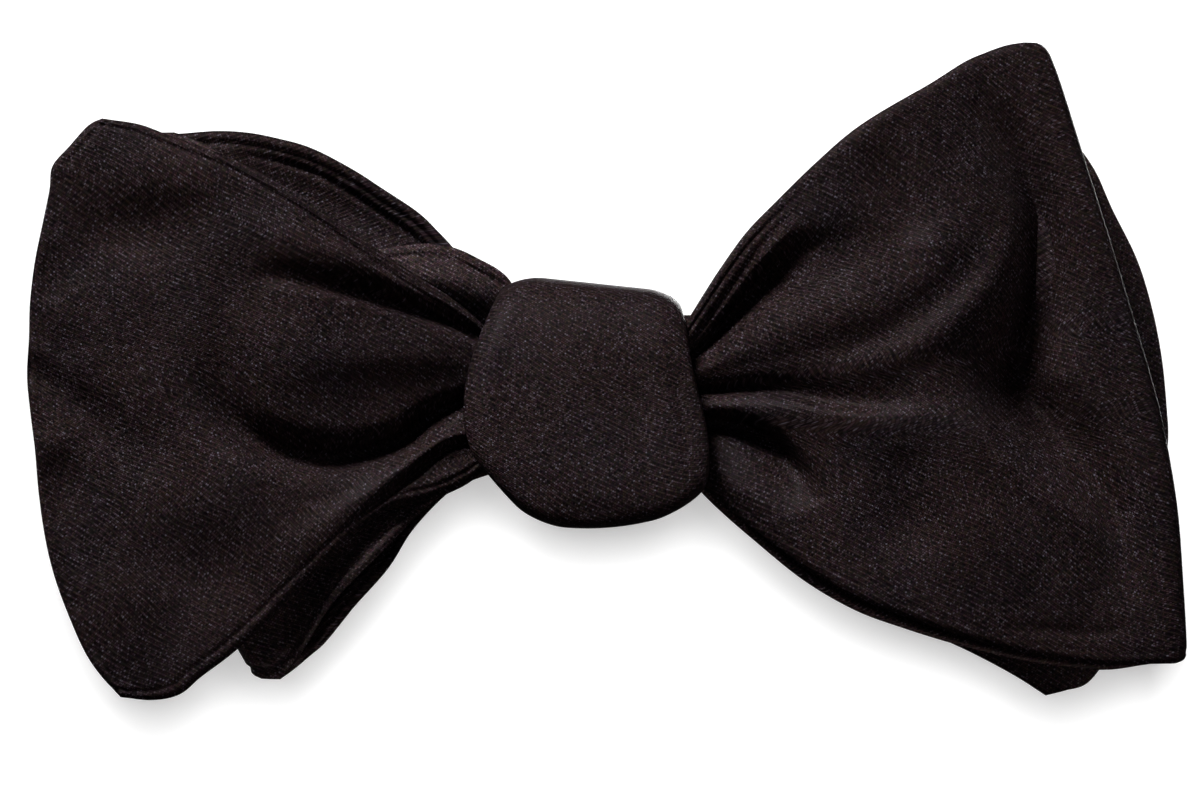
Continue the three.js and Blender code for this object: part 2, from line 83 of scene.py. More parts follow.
def smooth_curve(points, samples=240):
    """A Catmull-Rom curve through the points, sampled evenly along its length."""
    p = np.array(points, float)
    p = np.vstack([2 * p[0] - p[1], p, 2 * p[-1] - p[-2]])
    out = []
    for i in range(1, len(p) - 2):
        t = np.linspace(0, 1, 24, endpoint=False)[:, None]
        a, b, c, d = p[i - 1], p[i], p[i + 1], p[i + 2]
        out.append(0.5 * (2 * b + (c - a) * t + (2 * a - 5 * b + 4 * c - d) * t ** 2
                          + (3 * b - a - 3 * c + d) * t ** 3))
    out.append(p[-2][None])
    line = np.vstack(out)
    length = np.concatenate([[0], np.cumsum(np.linalg.norm(np.diff(line, axis=0)[:, :2], axis=1))])
    even = np.linspace(0, length[-1], samples)
    return np.stack([np.interp(even, length, line[:, k]) for k in range(line.shape[1])], 1)


def along(curve, t):
    """Points of a sampled curve at t from 0 to 1."""
    place = np.clip(t, 0, 1) * (len(curve) - 1)
    return np.stack([np.interp(place, np.arange(len(curve)), curve[:, k]) for k in range(curve.shape[1])], -1)


def coons(outline, u, v):
    """X and Z of a patch between four edges: bottom and top run outward, end runs upward."""
    bottom = smooth_curve(outline["bottom"])
    top = smooth_curve(outline["top"])
    end = smooth_curve(outline["end"])
    neck = np.linspace(bottom[0], top[0], 16)
    u3, v3 = u[..., None], v[..., None]
    corners = ((1 - u3) * (1 - v3) * bottom[0] + u3 * (1 - v3) * bottom[-1]
               + (1 - u3) * v3 * top[0] + u3 * v3 * top[-1])
    return ((1 - v3) * along(bottom, u) + v3 * along(top, u)
            + (1 - u3) * along(neck, v) + u3 * along(end, v) - corners)


def crease(x, z, spine):
    """Depth that one fold adds. The spine is a list of (x, z, depth, width on its left side,
    width on its right side), left and right being those of somebody who walks along it."""
    line = smooth_curve(spine, 90)
    reach = 3 * max(max(place[3:]) for place in spine)
    low, high = line[:, :2].min(0) - reach, line[:, :2].max(0) + reach
    near = (x > low[0]) & (x < high[0]) & (z > low[1]) & (z < high[1])
    points = np.stack([x[near], z[near]], 1)
    distance = np.hypot(points[:, :1] - line[:, 0], points[:, 1:] - line[:, 1])
    nearest = distance.argmin(1)
    tangent = np.gradient(line[:, :2], axis=0)
    tangent /= np.linalg.norm(tangent, axis=1)[:, None]
    gap = points - line[nearest, :2]
    side = tangent[nearest, 0] * gap[:, 1] - tangent[nearest, 1] * gap[:, 0]
    width = np.where(side > 0, line[nearest, 3], line[nearest, 4])
    d = distance[np.arange(len(points)), nearest] / np.maximum(width, 0.05)
    depth = np.zeros(x.shape)
    depth[near] = line[nearest, 2] * np.exp(-d ** 2)
    return depth


def smoothstep(t):
    """0 below 0, 1 above 1, and a smooth climb between."""
    t = np.clip(t, 0, 1)
    return t * t * (3 - 2 * t)


def profile(limb, u):
    """y of a limb at the knot, half way out and at its end, joined smoothly."""
    knot, middle, end = limb["y"]
    return np.where(u < 0.5, knot + (middle - knot) * smoothstep(2 * u),
                    middle + (end - middle) * smoothstep(2 * u - 1))


def limb_grid(limb, u, v):
    """X, Y, Z of a limb's middle surface, and the distances to its top, bottom and end edges."""
    xz = coons(limb["outline"], u, v)
    x, z = xz[..., 0], xz[..., 1]
    y = profile(limb, u)
    low = coons(limb["outline"], u, np.zeros_like(v))
    high = coons(limb["outline"], u, np.ones_like(v))
    last = coons(limb["outline"], np.ones_like(u), v)
    to_top = np.hypot(*np.moveaxis(high - xz, -1, 0))
    to_bottom = np.hypot(*np.moveaxis(low - xz, -1, 0))
    to_end = np.hypot(*np.moveaxis(last - xz, -1, 0))
    push = undulation(x, z) - sum(crease(x, z, spine) for spine in limb["creases"])
    y = y + push * smoothstep(to_end / limb.get("calm_end", 0.01))
    return np.stack([x, y, z], -1), to_top, to_bottom, to_end


def clustered(count, power=0.35):
    """Numbers from 0 to 1, closer together at both ends."""
    t = np.linspace(0, 1, count)
    return (1 - power) * t + power * (0.5 - 0.5 * np.cos(np.pi * t))


# ---------------------------------------------------------------------------
# Meshes
# ---------------------------------------------------------------------------


def make_mesh(name, points, faces, uvs=None):
    """A mesh object from points in millimetres, with the cloth's own flat coordinates as UVs."""
    mesh = bpy.data.meshes.new(name)
    mesh.from_pydata((np.asarray(points) * MM).tolist(), [], faces)
    mesh.update()
    if uvs is not None:
        layer = mesh.uv_layers.new(name="cloth")
        corner = np.array([i for f in faces for i in f])
        layer.data.foreach_set("uv", np.asarray(uvs)[corner].astype(np.float32).ravel())
    mesh.polygons.foreach_set("use_smooth", np.ones(len(mesh.polygons), bool))
    thing = bpy.data.objects.new(name, mesh)
    bpy.context.scene.collection.objects.link(thing)
    return thing


def grid_faces(rows, columns, offset=0, flip=False):
    """Quads between neighbouring points of a grid."""
    faces = []
    for i in range(rows - 1):
        for j in range(columns - 1):
            a = offset + i * columns + j
            b = a + columns
            quad = (a, a + 1, b + 1, b)
            faces.append(quad[::-1] if flip else quad)
    return faces


def shell(name, outer, inner, uv):
    """A closed piece of cloth between two grids of points. outer and inner have the same shape."""
    rows, columns = outer.shape[:2]
    points = np.vstack([outer.reshape(-1, 3), inner.reshape(-1, 3)])
    count = rows * columns
    faces = grid_faces(rows, columns) + grid_faces(rows, columns, count, flip=True)
    ring = ([(i, 0) for i in range(rows)]
            + [(rows - 1, j) for j in range(1, columns)]
            + [(i, columns - 1) for i in range(rows - 2, -1, -1)]
            + [(0, j) for j in range(columns - 2, 0, -1)])
    index = [i * columns + j for i, j in ring]
    for a, b in zip(index, index[1:] + index[:1]):
        faces.append((b, a, a + count, b + count))
    thing = make_mesh(name, points, faces, np.vstack([uv.reshape(-1, 2)] * 2))
    face_outward(thing)
    return thing


def face_outward(thing):
    """Flips a closed mesh whose faces point inward, where the volume inside comes out below zero."""
    thing.data.calc_loop_triangles()
    co = np.array([v.co for v in thing.data.vertices])
    tri = np.array([t.vertices for t in thing.data.loop_triangles])
    a, b, c = co[tri[:, 0]], co[tri[:, 1]], co[tri[:, 2]]
    if np.einsum("ij,ij->i", a, np.cross(b, c)).sum() < 0:
        thing.data.flip_normals()


# ---------------------------------------------------------------------------
# Bow: outlines and folds, in millimetres from the knot's middle
# ---------------------------------------------------------------------------

ROLL = 1.3            # how far in from an edge the cloth starts to round over
EDGE_HALF = 0.22      # half thickness at the very edge
SEAM_IN = 1.25        # the edge seam's groove, from the edge
SEAM_WIDTH = 0.28
INNER_HOLLOW = 0.28   # room for the interlining on each side of the middle
INTERLINING_HALF = 0.2
PUCKER_DEPTH = 0.035
PUCKER_REACH = 0.9
PUCKER_LENGTHS = 2.3, 3.9   # the two wavelengths of the dimples along the edge
DRAPE_SHIFT = 0.25    # how much the weave slides where the cloth dips
PULL_IN_REACH = 14    # the limbs of a loop draw in towards the fold over this length
FOLD_STEPS = 14       # the fold at a loop's end has this many steps round its half turn

FRONT_LEFT_BLADE = {
    "outline": {
        "bottom": [(-9.8, -6.6), (-12, -8.4), (-13.6, -9.3), (-15.8, -10.2), (-18.2, -10.7),
                   (-20.8, -11.5), (-24.3, -14.3), (-29.4, -19.2), (-33.4, -23.2), (-36.4, -26),
                   (-39.6, -28.4), (-41.8, -30.2), (-44.6, -30.8), (-47.9, -30.5)],
        "top": [(-9.8, 6.6), (-11.6, 8.6), (-14.4, 10.8), (-18.6, 13.5), (-22.3, 16), (-26.9, 19.4),
                (-31.8, 22.4), (-36, 24.6), (-39.6, 26), (-43, 27.2), (-46, 28.3), (-49.8, 28.9)],
        "end": [(-47.9, -30.5), (-50, -28.2), (-51.6, -25.8), (-53.2, -22.2), (-54.6, -18.4),
                (-55.6, -14.4), (-56.3, -9.6), (-56.7, -5), (-57.2, -1), (-57.5, 2.5), (-57.3, 6.5),
                (-57.2, 10), (-56.7, 14.2), (-55.8, 18.6), (-55.2, 21.6), (-54.9, 24), (-53.2, 26),
                (-51.2, 28.2), (-49.8, 28.9)],
    },
    "y": (-77.1, -81.3, -80),
    "faces": -1,
    "seams": [(0.32, 2), (0.22, 2), (0.16, 2)],
    # (x, z, depth towards the front, width on the left, width on the right)
    "creases": [
        # the furrow under the upper edge: the cloth above hangs over it
        [(-9.8, 5.6, -1.2, 0.5, 1.0), (-12.5, 7.0, -2.0, 0.55, 1.2), (-15.8, 8.4, -2.4, 0.6, 1.4),
         (-19.6, 9.6, -2.4, 0.6, 1.6), (-23.4, 10.7, -2.1, 0.6, 1.7), (-27.3, 11.7, -1.7, 0.6, 1.8),
         (-31.2, 12.5, -1.1, 0.7, 1.8), (-34.4, 12.8, 0, 0.8, 1.8)],
        # the roll of cloth above that furrow
        [(-9.8, 6.4, 0.2, 1.0, 0.5), (-13.6, 9.2, 0.6, 1.6, 0.6), (-19, 11.8, 0.9, 2.4, 0.9),
         (-26, 14.8, 1.1, 3.4, 1.5), (-34, 17.4, 0.7, 4.5, 2.4), (-41, 19.6, 0, 5, 4)],
        # the bulge in the middle
        [(-9.8, 3.4, 0.3, 1.6, 2.4), (-15, 4.6, 0.9, 2.0, 3.4), (-21, 4.8, 1.3, 2.6, 4.4),
         (-27, 4.6, 1.4, 3.2, 5.2), (-32, 4.2, 0.9, 3.8, 5.4), (-37, 4, 0, 4, 5)],
        # the big crescent under the bulge, which curls up round its left end
        [(-9.8, 0.8, -1.8, 0.5, 0.7), (-13, -0.2, -2.6, 0.8, 0.9), (-16.1, -1.8, -3.0, 1.0, 1.1),
         (-19, -3.9, -3.4, 1.2, 1.2), (-22.4, -5.2, -3.6, 1.4, 1.4), (-26.4, -5.9, -3.7, 1.5, 1.7),
         (-30.8, -5.4, -3.6, 1.5, 2.0), (-34.4, -3.8, -3.0, 1.6, 2.3), (-37, -1.2, -2.2, 1.8, 2.6),
         (-38.2, 2, -1.3, 2.0, 3.0), (-38.2, 5.6, -0.5, 2.2, 3.4), (-37.2, 8.6, 0, 2.2, 3.4)],
        # the upper rib of the lower edge
        [(-9.8, -3.2, 0.5, 0.9, 0.7), (-14, -3.9, 1.1, 1.2, 0.8), (-18, -6.4, 1.4, 1.4, 1.0),
         (-22, -9.6, 1.3, 2.0, 1.4), (-28, -14, 0.8, 2.8, 2.0), (-34, -19, 0, 3.5, 3)],
        # the seam between the two ribs
        [(-9.8, -4.3, -0.9, 0.35, 0.5), (-14, -4.8, -1.3, 0.45, 0.6), (-18, -7.8, -1.3, 0.45, 0.6),
         (-21.6, -10.6, -0.7, 0.4, 0.5), (-24.4, -13, 0, 0.4, 0.5)],
        # the small lobe below it, beside the knot
        [(-11, -6.4, 0.3, 1.2, 1.2), (-14.2, -8, 0.8, 1.4, 1.4), (-17.6, -9.6, 0.6, 1.1, 1.1),
         (-20.6, -10.9, 0, 1, 1)],
        # soft hollow from the notch in the left edge
        [(-57.4, 3.4, -0.9, 1.4, 1.0), (-54, 0.8, -1.2, 2.0, 1.6), (-50, -2.4, -1.0, 2.6, 2.4),
         (-46.4, -5.6, -0.5, 3.0, 3.0), (-43, -8, 0, 3, 3)],
        # light lobe below it, on the edge
        [(-56.6, -6, 0.5, 1.5, 1.5), (-54.6, -4.4, 0.5, 1.8, 1.8), (-52, -5.6, 0.1, 2, 2)],
        # the hollow along the lower part of the edge
        [(-55, -3.6, -0.2, 1.2, 1.0), (-54.3, -8, -0.7, 2.2, 1.0), (-53.6, -13, -0.6, 2.4, 1.2),
         (-51.8, -19, 0, 2.4, 1.4)],
        # the slope below the upper corner
        [(-55, 12.4, -0.5, 2.2, 2.2), (-50, 16.6, -0.8, 3.0, 3.4), (-43, 18.4, -0.9, 3.0, 4.0),
         (-37.2, 20, -0.3, 2.4, 3.4), (-33.5, 21, 0, 2, 3)],
        # broad swell of the upper corner
        [(-50, 24, 0.5, 4, 4), (-44, 22.6, 0.7, 4, 4), (-38, 21.2, 0.2, 3, 3)],
        # broad hollow low in the middle
        [(-46.5, -14, -0.2, 3, 3), (-43.6, -16.5, -0.7, 3.4, 3.4), (-38.4, -17.6, -0.7, 3.4, 3.4),
         (-34, -16, -0.1, 3, 3)],
        # swell that runs down to the lower corner
        [(-36, -9.5, 0.9, 3.4, 4.0), (-43, -12, 0.4, 3.6, 4.6), (-47, -19, 0.7, 4, 4),
         (-47.6, -25, 0.4, 3, 3)],
        # small dent half way up the edge
        [(-56.6, 8.6, -0.2, 1, 1), (-54.4, 5.4, -0.6, 1.8, 1.8), (-51.6, 5, -0.1, 2, 2)],
    ],
}

FRONT_FOLD = [(61.1, -27), (61.5, -25.6), (61.1, -18), (60.6, -11.5), (59.7, -5.7), (58.5, 0), (56.3, 7.6),
              (53.4, 17.2), (50.8, 25.4), (48.4, 33), (46.9, 36.6)]
FRONT_RIGHT_LOOP = {
    # the inner cloth wears a lighter copy of the satin, painted light for a part that sits in shade
    "lining": "satin_painted_light",
    "front": {
        "outline": {
            "bottom": [(9.8, -7.4), (12.8, -9.9), (15.4, -12), (18.8, -14.6), (22.3, -17), (27.5, -20.1),
                       (32.7, -22.2), (37.9, -24), (43, -25.5), (48.2, -26.5), (54.6, -27.1), (61.1, -27)],
            "top": [(9.8, 7.4), (11.9, 10.8), (13.7, 13.6), (16.3, 17.2), (19.3, 20.3), (23.4, 24.3),
                    (27.5, 27.8), (32.7, 31), (38.9, 34.3), (42.6, 35.6), (45, 36.3), (46.9, 36.6)],
            "end": FRONT_FOLD,
        },
        "y": (-78.4, -84.6, -81.8),
        "seams": [(0.35, 0.45), (0.10, 2), (0, 2)],
        "calm_end": 5,
        "creases": [
            # the groove between the two ribs of the upper edge
            [(9.8, 4.6, -0.7, 0.4, 0.5), (12, 7.6, -0.9, 0.4, 0.6), (15.5, 12.4, -0.8, 0.5, 0.6),
             (18.6, 16.6, -0.5, 0.5, 0.6), (21.5, 19.8, 0, 0.5, 0.6)],
            # the second rib, between that groove and the dark furrow
            [(9.8, 4.0, 0.4, 0.6, 0.6), (13.4, 8.2, 0.7, 0.8, 0.6), (17.2, 13.2, 0.8, 1.0, 0.7),
             (20.5, 17.6, 0.5, 1.4, 1.0), (24, 20.5, 0, 2, 2)],
            # the dark furrow that runs up from the knot
            [(9.8, 3.6, -1.8, 0.5, 0.8), (12.4, 6.1, -2.9, 0.7, 1.2), (15.4, 9.7, -3.6, 0.8, 2.0),
             (17.9, 12.6, -3.4, 1.0, 3.0), (20.4, 14.4, -2.2, 1.2, 3.6), (24, 15.4, -1.1, 1.8, 4.0),
             (29, 16, -0.4, 2.6, 4.0), (33, 16.6, 0, 3, 4)],
            # the ridge that sweeps out and curls upward
            [(9.8, 2.4, 0.3, 0.7, 0.8), (14, 4.3, 0.7, 1.6, 1.2), (19.5, 6.4, 0.6, 2.6, 1.9),
             (25, 8.5, 0.6, 3.4, 2.4), (30.8, 10.6, 0.7, 3.8, 2.6), (35.4, 13.6, 0.8, 3.8, 2.6),
             (38.4, 17.4, 0.7, 4.0, 2.7), (39.2, 22, 0.4, 4, 3), (38.6, 26, 0, 4, 3.4)],
            # the soft shade below that ridge
            [(18, 3.6, 0, 1.2, 1.2), (24.4, 4.9, -0.2, 1.5, 1.4), (29.4, 6.2, -0.4, 1.6, 1.5),
             (34.2, 8.9, -0.5, 1.9, 1.8), (38.2, 12, -0.5, 1.9, 1.8), (40.4, 15.6, -0.4, 1.9, 1.8),
             (41.4, 20, 0, 1.8, 1.8)],
            # the second, fainter ridge
            [(25, 2.8, 0.1, 1.6, 1.4), (31.6, 4.8, 0.7, 2.4, 1.8), (37.4, 8.4, 1.3, 2.6, 2.2),
             (41.4, 13.2, 0.9, 2.4, 2.0), (42.8, 18, 0, 2, 2)],
            # the crease out of the middle of the knot, under which the lower cloth laps
            [(9.8, 0.9, -1.5, 0.5, 0.35), (13, 0.9, -2.1, 0.8, 0.4), (17, 1.0, -1.9, 1.1, 0.4),
             (20.6, 0.7, -1.5, 1.5, 0.45), (25.3, -0.2, -1.1, 2.0, 0.55), (30, -0.4, -0.8, 2.4, 0.8),
             (35, 0.4, 0, 2.4, 1.2)],
            # the lip just below it
            [(9.8, -0.6, 0.4, 0.6, 1.0), (14, -0.6, 0.8, 0.7, 1.6), (20, -1.0, 0.8, 0.9, 2.2),
             (27, -1.9, 0.7, 1.2, 2.8), (34, -2.0, 0.6, 1.8, 3.2), (40, -3.0, 0.5, 2.2, 3.2),
             (46, -7, 0, 3, 3)],
            # the great hollow inside the folded edge
            [(39.6, 29.8, -0.2, 3.4, 3), (43.8, 27.6, -1.3, 3.6, 3.2), (46.9, 23.6, -2.4, 3.8, 3.2),
             (48.4, 18.6, -3.2, 3.8, 3.1), (48.0, 13.6, -4.0, 3.8, 3.2), (46.6, 9.2, -4.9, 3.8, 3.3),
             (45.2, 5.2, -5.8, 3.8, 4.0), (44.8, 1.4, -6.2, 3.8, 4.4), (47.4, -2.4, -4.9, 3.8, 3.6),
             (51.4, -6.4, -3.1, 3.6, 3.0), (55.4, -10.4, -1.5, 3.0, 2.8), (58, -14, 0, 2.2, 2.6)],
            # the light band that leaves the deepest point for the lower corner
            [(36, -2.0, 0.2, 1.6, 2), (40.6, -4.2, 0.5, 1.8, 2.2), (45.6, -8, 0.6, 2.0, 2.4),
             (50.6, -12.2, 0.5, 2.0, 2.6), (55, -17, 0.1, 2, 2.6)],
            # the crescent low beside the knot
            [(9.8, -2.6, -1.8, 0.6, 0.9), (13.5, -2.2, -3.3, 0.7, 1.5), (16.8, -3.0, -3.8, 0.8, 1.9),
             (19.6, -4.9, -3.5, 0.9, 2.1), (21.8, -7.7, -2.4, 1.1, 2.2), (23.2, -11, 0, 1.4, 2.2)],
            # the lobe below the crescent
            [(9.8, -5.8, 0.5, 1.2, 1.2), (13.6, -7.6, 0.9, 1.4, 1.6), (17.4, -10.6, 0.8, 1.7, 1.7),
             (21.4, -14.2, 0.1, 2, 2)],
            # upright shade below the middle
            [(31.8, -4.6, -0.1, 2, 2.6), (32.3, -8, -0.8, 2.4, 3.0), (32.8, -12.4, -1.0, 2.6, 3.2),
             (33.8, -16.6, -0.1, 2.4, 3)],
            # swell beyond it
            [(38, -9, 0.4, 3, 3), (42, -14, 0.8, 4, 4), (47, -19, 0.5, 4, 4), (52, -22, 0, 3, 3)],
            # shade inside the lower corner
            [(54, -9.6, -0.2, 2.2, 2.2), (56, -14, -0.9, 2.2, 3.0), (56.4, -18, -0.8, 2.2, 3.0),
             (55.4, -21.6, 0, 2.2, 2.2)],
            # shallow groove above the lower edge
            [(40, -23, 0, 0.6, 0.6), (46, -23.5, -0.2, 0.7, 0.7), (53, -23.8, -0.2, 0.7, 0.7),
             (58, -23.4, 0, 0.6, 0.6)],
            # the dark patch high in the middle
            [(28, 26, -0.1, 3, 3), (30.6, 22.4, -0.9, 3.2, 2.6), (32.4, 18.6, -0.9, 2.6, 2.2),
             (33, 15.6, 0, 2, 2)],
        ],
    },
    "rear": {
        "outline": {
            "bottom": [(9.8, -7.4), (13, -10.8), (17.2, -14.5), (22.3, -18.6), (27.5, -21.6),
                       (32.7, -23.5), (37.9, -25.1), (43, -26.4), (48.2, -27.3), (54.6, -27.7), (61.1, -27)],
            "top": [(9.8, 7.4), (12.6, 10.4), (16.6, 15.6), (20.4, 19.2), (28, 26.5), (38.9, 33.4),
                    (46.9, 36.6)],
            "end": FRONT_FOLD,
        },
        "y": (-75.3, -77, -79.2),
        "seams": [(0.3, 2), (0.3, 2), (0, 2)],
        "calm_end": 5,
        "creases": [
            [(12, 2, 0.3, 3, 3), (25, 4, -1.0, 4, 4), (38, 5, -1.6, 6, 6), (46, 5, -1.8, 7, 7),
             (54, 4, -0.4, 6, 6)],
            [(12, -4, -0.3, 2, 2), (24, -8, -0.9, 3, 3), (36, -12, -0.5, 4, 4), (46, -15, 0, 4, 4)],
            # its lower edge comes forward to the front limb's
            [(14, -11.6, 0.4, 1.4, 1.4), (22, -18.2, 2.0, 1.8, 1.8), (32, -23, 3.6, 2, 2),
             (42, -26, 3.2, 2, 2), (49, -27.2, 2.0, 2, 2), (56, -27.6, 0.6, 2, 2)],
        ],
    },
}

REAR_FOLD = [(-34.6, -28.9), (-36.6, -25.4), (-40.4, -19.6), (-44.6, -9), (-46.6, 3), (-47, 15),
             (-46.4, 24), (-45.6, 27.7)]
REAR_LEFT_LOOP = {
    # the loop's outer cloth wears a lighter copy of the satin, painted light where it hangs in shade behind
    # the blade
    "cloth": "satin_painted_light",
    "lining": "satin",
    "front": {
        "outline": {
            "bottom": [(-9.8, -7.6), (-12.6, -8.6), (-15.2, -10), (-17.8, -12.2), (-20.8, -15.3),
                       (-25.6, -20.1), (-29.4, -23.8), (-32.6, -26.9), (-34.6, -28.9)],
            "top": [(-7.4, 11.2), (-8.1, 12.5), (-9.2, 13.5), (-10.8, 14.4), (-13.6, 15.7), (-16.6, 16.2),
                    (-19.6, 15.9), (-22, 15.7), (-25, 16.4), (-28.5, 18.5), (-32, 21), (-36, 23.6),
                    (-41, 26.2), (-45.6, 27.7)],
            "end": REAR_FOLD,
        },
        "y": (-73.2, -77.3, -74.4),
        "calm_end": 5,
        "seams": [(0.3, 2), (0.35, 2), (0, 2)],
        "creases": [
            # it gives way behind the blade's two deep folds
            [(-12, 0, -0.8, 3, 3), (-20, -3, -2.8, 4, 3.4), (-29, -4.6, -3.2, 4.5, 3.6),
             (-36, -1, -2.6, 5, 4), (-40, 5, 0, 5, 4)],
            [(-12, 8, -0.6, 2, 2), (-19, 9.8, -1.8, 2.6, 2.6), (-28, 12, -1.4, 2.6, 2.6),
             (-34, 13, 0, 2.6, 2.6)],
            # the shaded recess above the blade's edge
            [(-21, 17, -0.8, 1.0, 1.2), (-24.6, 17.8, -3.8, 1.6, 1.8), (-29, 20.4, -3.6, 1.6, 1.8),
             (-35, 24, 0, 1.4, 1.4)],
            # the lobe that rises beside the knot, and the pinch under it
            [(-8.6, 9, 0.8, 2.4, 1.6), (-11.6, 11.2, 2.0, 3.0, 2.2), (-15, 12.2, 2.4, 3.0, 2.2),
             (-19, 12.4, 1.8, 2.6, 2.2), (-24, 13.6, 0.4, 2, 2), (-28, 16, 0, 2, 2)],
            [(-8.8, 12, -0.2, 0.5, 0.5), (-11.6, 13.3, -0.4, 0.5, 0.5), (-14, 14.2, 0, 0.5, 0.5)],
            # the lower part lies close behind the blade
            [(-12, -7.6, 0.6, 1.6, 1.4), (-17, -11.2, 1.5, 2.0, 1.5), (-20.6, -14.6, 2.2, 2.2, 1.8),
             (-25, -19, 2.5, 2.4, 2.0), (-30, -24.2, 2.5, 2.4, 2.0), (-33.6, -27.6, 1.0, 2, 2)],
        ],
    },
    "rear": {
        "outline": {
            "bottom": [(-9.8, -7.6), (-13.1, -8.8), (-15.3, -10.4), (-18.2, -13.6), (-20.3, -17),
                       (-22.3, -19.4), (-25.4, -22.6), (-28.5, -25.1), (-31.4, -26.8), (-34.6, -28.9)],
            "top": [(-9.8, 8.6), (-11.6, 12.6), (-13.6, 15.4), (-15.6, 17.6), (-17.7, 19.6), (-21.3, 22),
                    (-24.4, 24), (-28.4, 26.1), (-31.6, 27.1), (-35.6, 27.8), (-40.6, 28), (-45.6, 27.7)],
            "end": REAR_FOLD,
        },
        "y": (-70.2, -69.8, -70.6),
        "calm_end": 5,
        "seams": [(0.5, 2), (0.4, 2), (0, 2)],
        "creases": [
            # the turned edge shows as a second line inside the seam
            [(-14.4, 13.4, -0.3, 0.3, 0.5), (-17.6, 16.4, -0.7, 0.3, 0.5), (-22.4, 20, -0.8, 0.3, 0.5),
             (-28, 23.4, -0.8, 0.3, 0.5), (-33, 25, -0.6, 0.3, 0.5), (-38, 25.6, 0, 0.3, 0.5)],
            [(-12, 10, -0.4, 1.6, 1.6), (-20, 17, -1.3, 2.2, 2.2), (-30, 22, -1.0, 3, 3),
             (-38, 24, 0, 3, 3)],
            # the lower edge comes forward to the front limb's
            [(-13.2, -9.2, 0.8, 1.8, 1.8), (-17.7, -13, 2.8, 2.0, 2.2), (-21, -17.2, 4.6, 2.4, 2.8),
             (-24.6, -20.8, 5.0, 2.4, 2.8), (-28, -23.8, 4.0, 2.4, 2.6), (-32, -27, 1.0, 2, 2)],
        ],
    },
}

REAR_RIGHT_BLADE = {
    "outline": {
        "bottom": [(9.8, -7.6), (15.5, -11.4), (28, -20), (35.6, -24.2), (40, -26.3), (44.3, -28.6),
                   (47.6, -30.7)],
        "top": [(9.8, 7.6), (20, 16), (33, 24), (42, 28), (47, 28.4)],
        "end": [(47.6, -30.7), (49.6, -30.2), (52.2, -29.2), (55, -25), (57.6, -19), (59.4, -12),
                (60.3, -4.6), (60.2, -1), (59.7, 4.2), (58.7, 9.4), (57.1, 14.6), (54.5, 19.9),
                (52.7, 23.9), (50.4, 26.8), (47, 28.4)],
    },
    "y": (-70.6, -72.2, -71.5),
    "faces": -1,
    # a lighter copy of the satin, painted light for a blade that sits in shade behind the front loop
    "cloth": "satin_painted_light",
    "seams": [(0.3, 2), (0.3, 2), (0.2, 2)],
    "creases": [
        [(10, 2, 0.4, 2, 2), (24, 6, 1.0, 4, 4), (40, 10, 0, 6, 6)],
        [(10, -2, -0.6, 1.2, 1.2), (24, -6, -1.2, 3, 3), (40, -12, -0.5, 5, 5), (52, -15, 0, 5, 5)],
    ],
}


def rounded(distance, radius):
    """How high a rolled edge stands, from 0 at the edge to 1 at radius and beyond."""
    d = np.clip(distance / radius, 0, 1)
    return np.sqrt(np.clip(1 - (1 - d) ** 2, 0, 1))


def seam_groove(limb, u, to_top, to_bottom, to_end):
    """Depth of the grooves just inside a limb's edges. Each seam is (depth, u where it fades out)."""
    groove = np.zeros_like(u)
    for (depth, fade), distance in zip(limb["seams"], (to_top, to_bottom, to_end)):
        groove += depth * smoothstep((fade - u) / 0.2) * np.exp(-((distance - SEAM_IN) / SEAM_WIDTH) ** 2)
    return groove


def ply_offsets(edge, groove):
    """Offsets of a ply's outer and inner faces from the middle of the stack, by distance from the edge."""
    outer = EDGE_HALF + (STACK_HALF - EDGE_HALF) * rounded(edge, ROLL) - groove
    inner = SEAM_HALF_GAP + INNER_HOLLOW * smoothstep((edge - SEAM_IN) / 2)
    return outer, inner


def pucker(edge, place):
    """Small dimples where the stitches pull the edge seam in. place runs along the edge in mm."""
    close = np.exp(-((edge - SEAM_IN) / PUCKER_REACH) ** 2)
    turn = 2 * math.pi * place
    short, long = PUCKER_LENGTHS
    return PUCKER_DEPTH * close * (np.sin(turn / short) + 0.7 * np.sin(turn / long + 1))


def undulation(x, z):
    """The cloth's own slight unevenness."""
    waves = [(0.04, 0.52, 0.21, 0.3), (0.035, -0.33, 0.61, 1.9), (0.02, 0.95, -0.52, 4.1),
             (0.015, 0.42, 1.12, 2.2), (0.008, -1.5, 0.9, 5.0), (0.006, 1.9, 1.3, 0.7)]
    total = np.zeros_like(x)
    for height, along_x, along_z, phase in waves:
        total += height * np.sin(along_x * x + along_z * z + phase)
    return total


def add_plies(name, labels, middle, outward, edge, groove, place, uv, cloth="satin",
              lining_cloth="satin_reverse"):
    """Two cloths sewn along their edges and the interlining between them, round one middle surface."""
    # the lining ply takes a slightly darker copy of the satin unless told otherwise: painted shade
    pieces = []
    outer, inner = ply_offsets(edge, groove)
    outer = outer + pucker(edge, place)
    for label, direction in ((labels[0], 1), (labels[1], -1)):
        face = middle + direction * outer[..., None] * outward
        lining = middle + direction * inner[..., None] * outward
        piece = shell(f"{name}_{label}_satin", face, lining, uv)
        pieces.append((piece, f"{name}_{label}", cloth if direction > 0 else lining_cloth))
    coarse = (slice(None, None, 2), slice(None, None, 2))
    half = np.minimum(inner - 0.03, INTERLINING_HALF)[coarse][..., None] * outward[coarse]
    pieces.append((shell(f"{name}_canvas", middle[coarse] + half, middle[coarse] - half, uv[coarse]),
                   f"{name}_interlining", "interlining_canvas"))
    return pieces


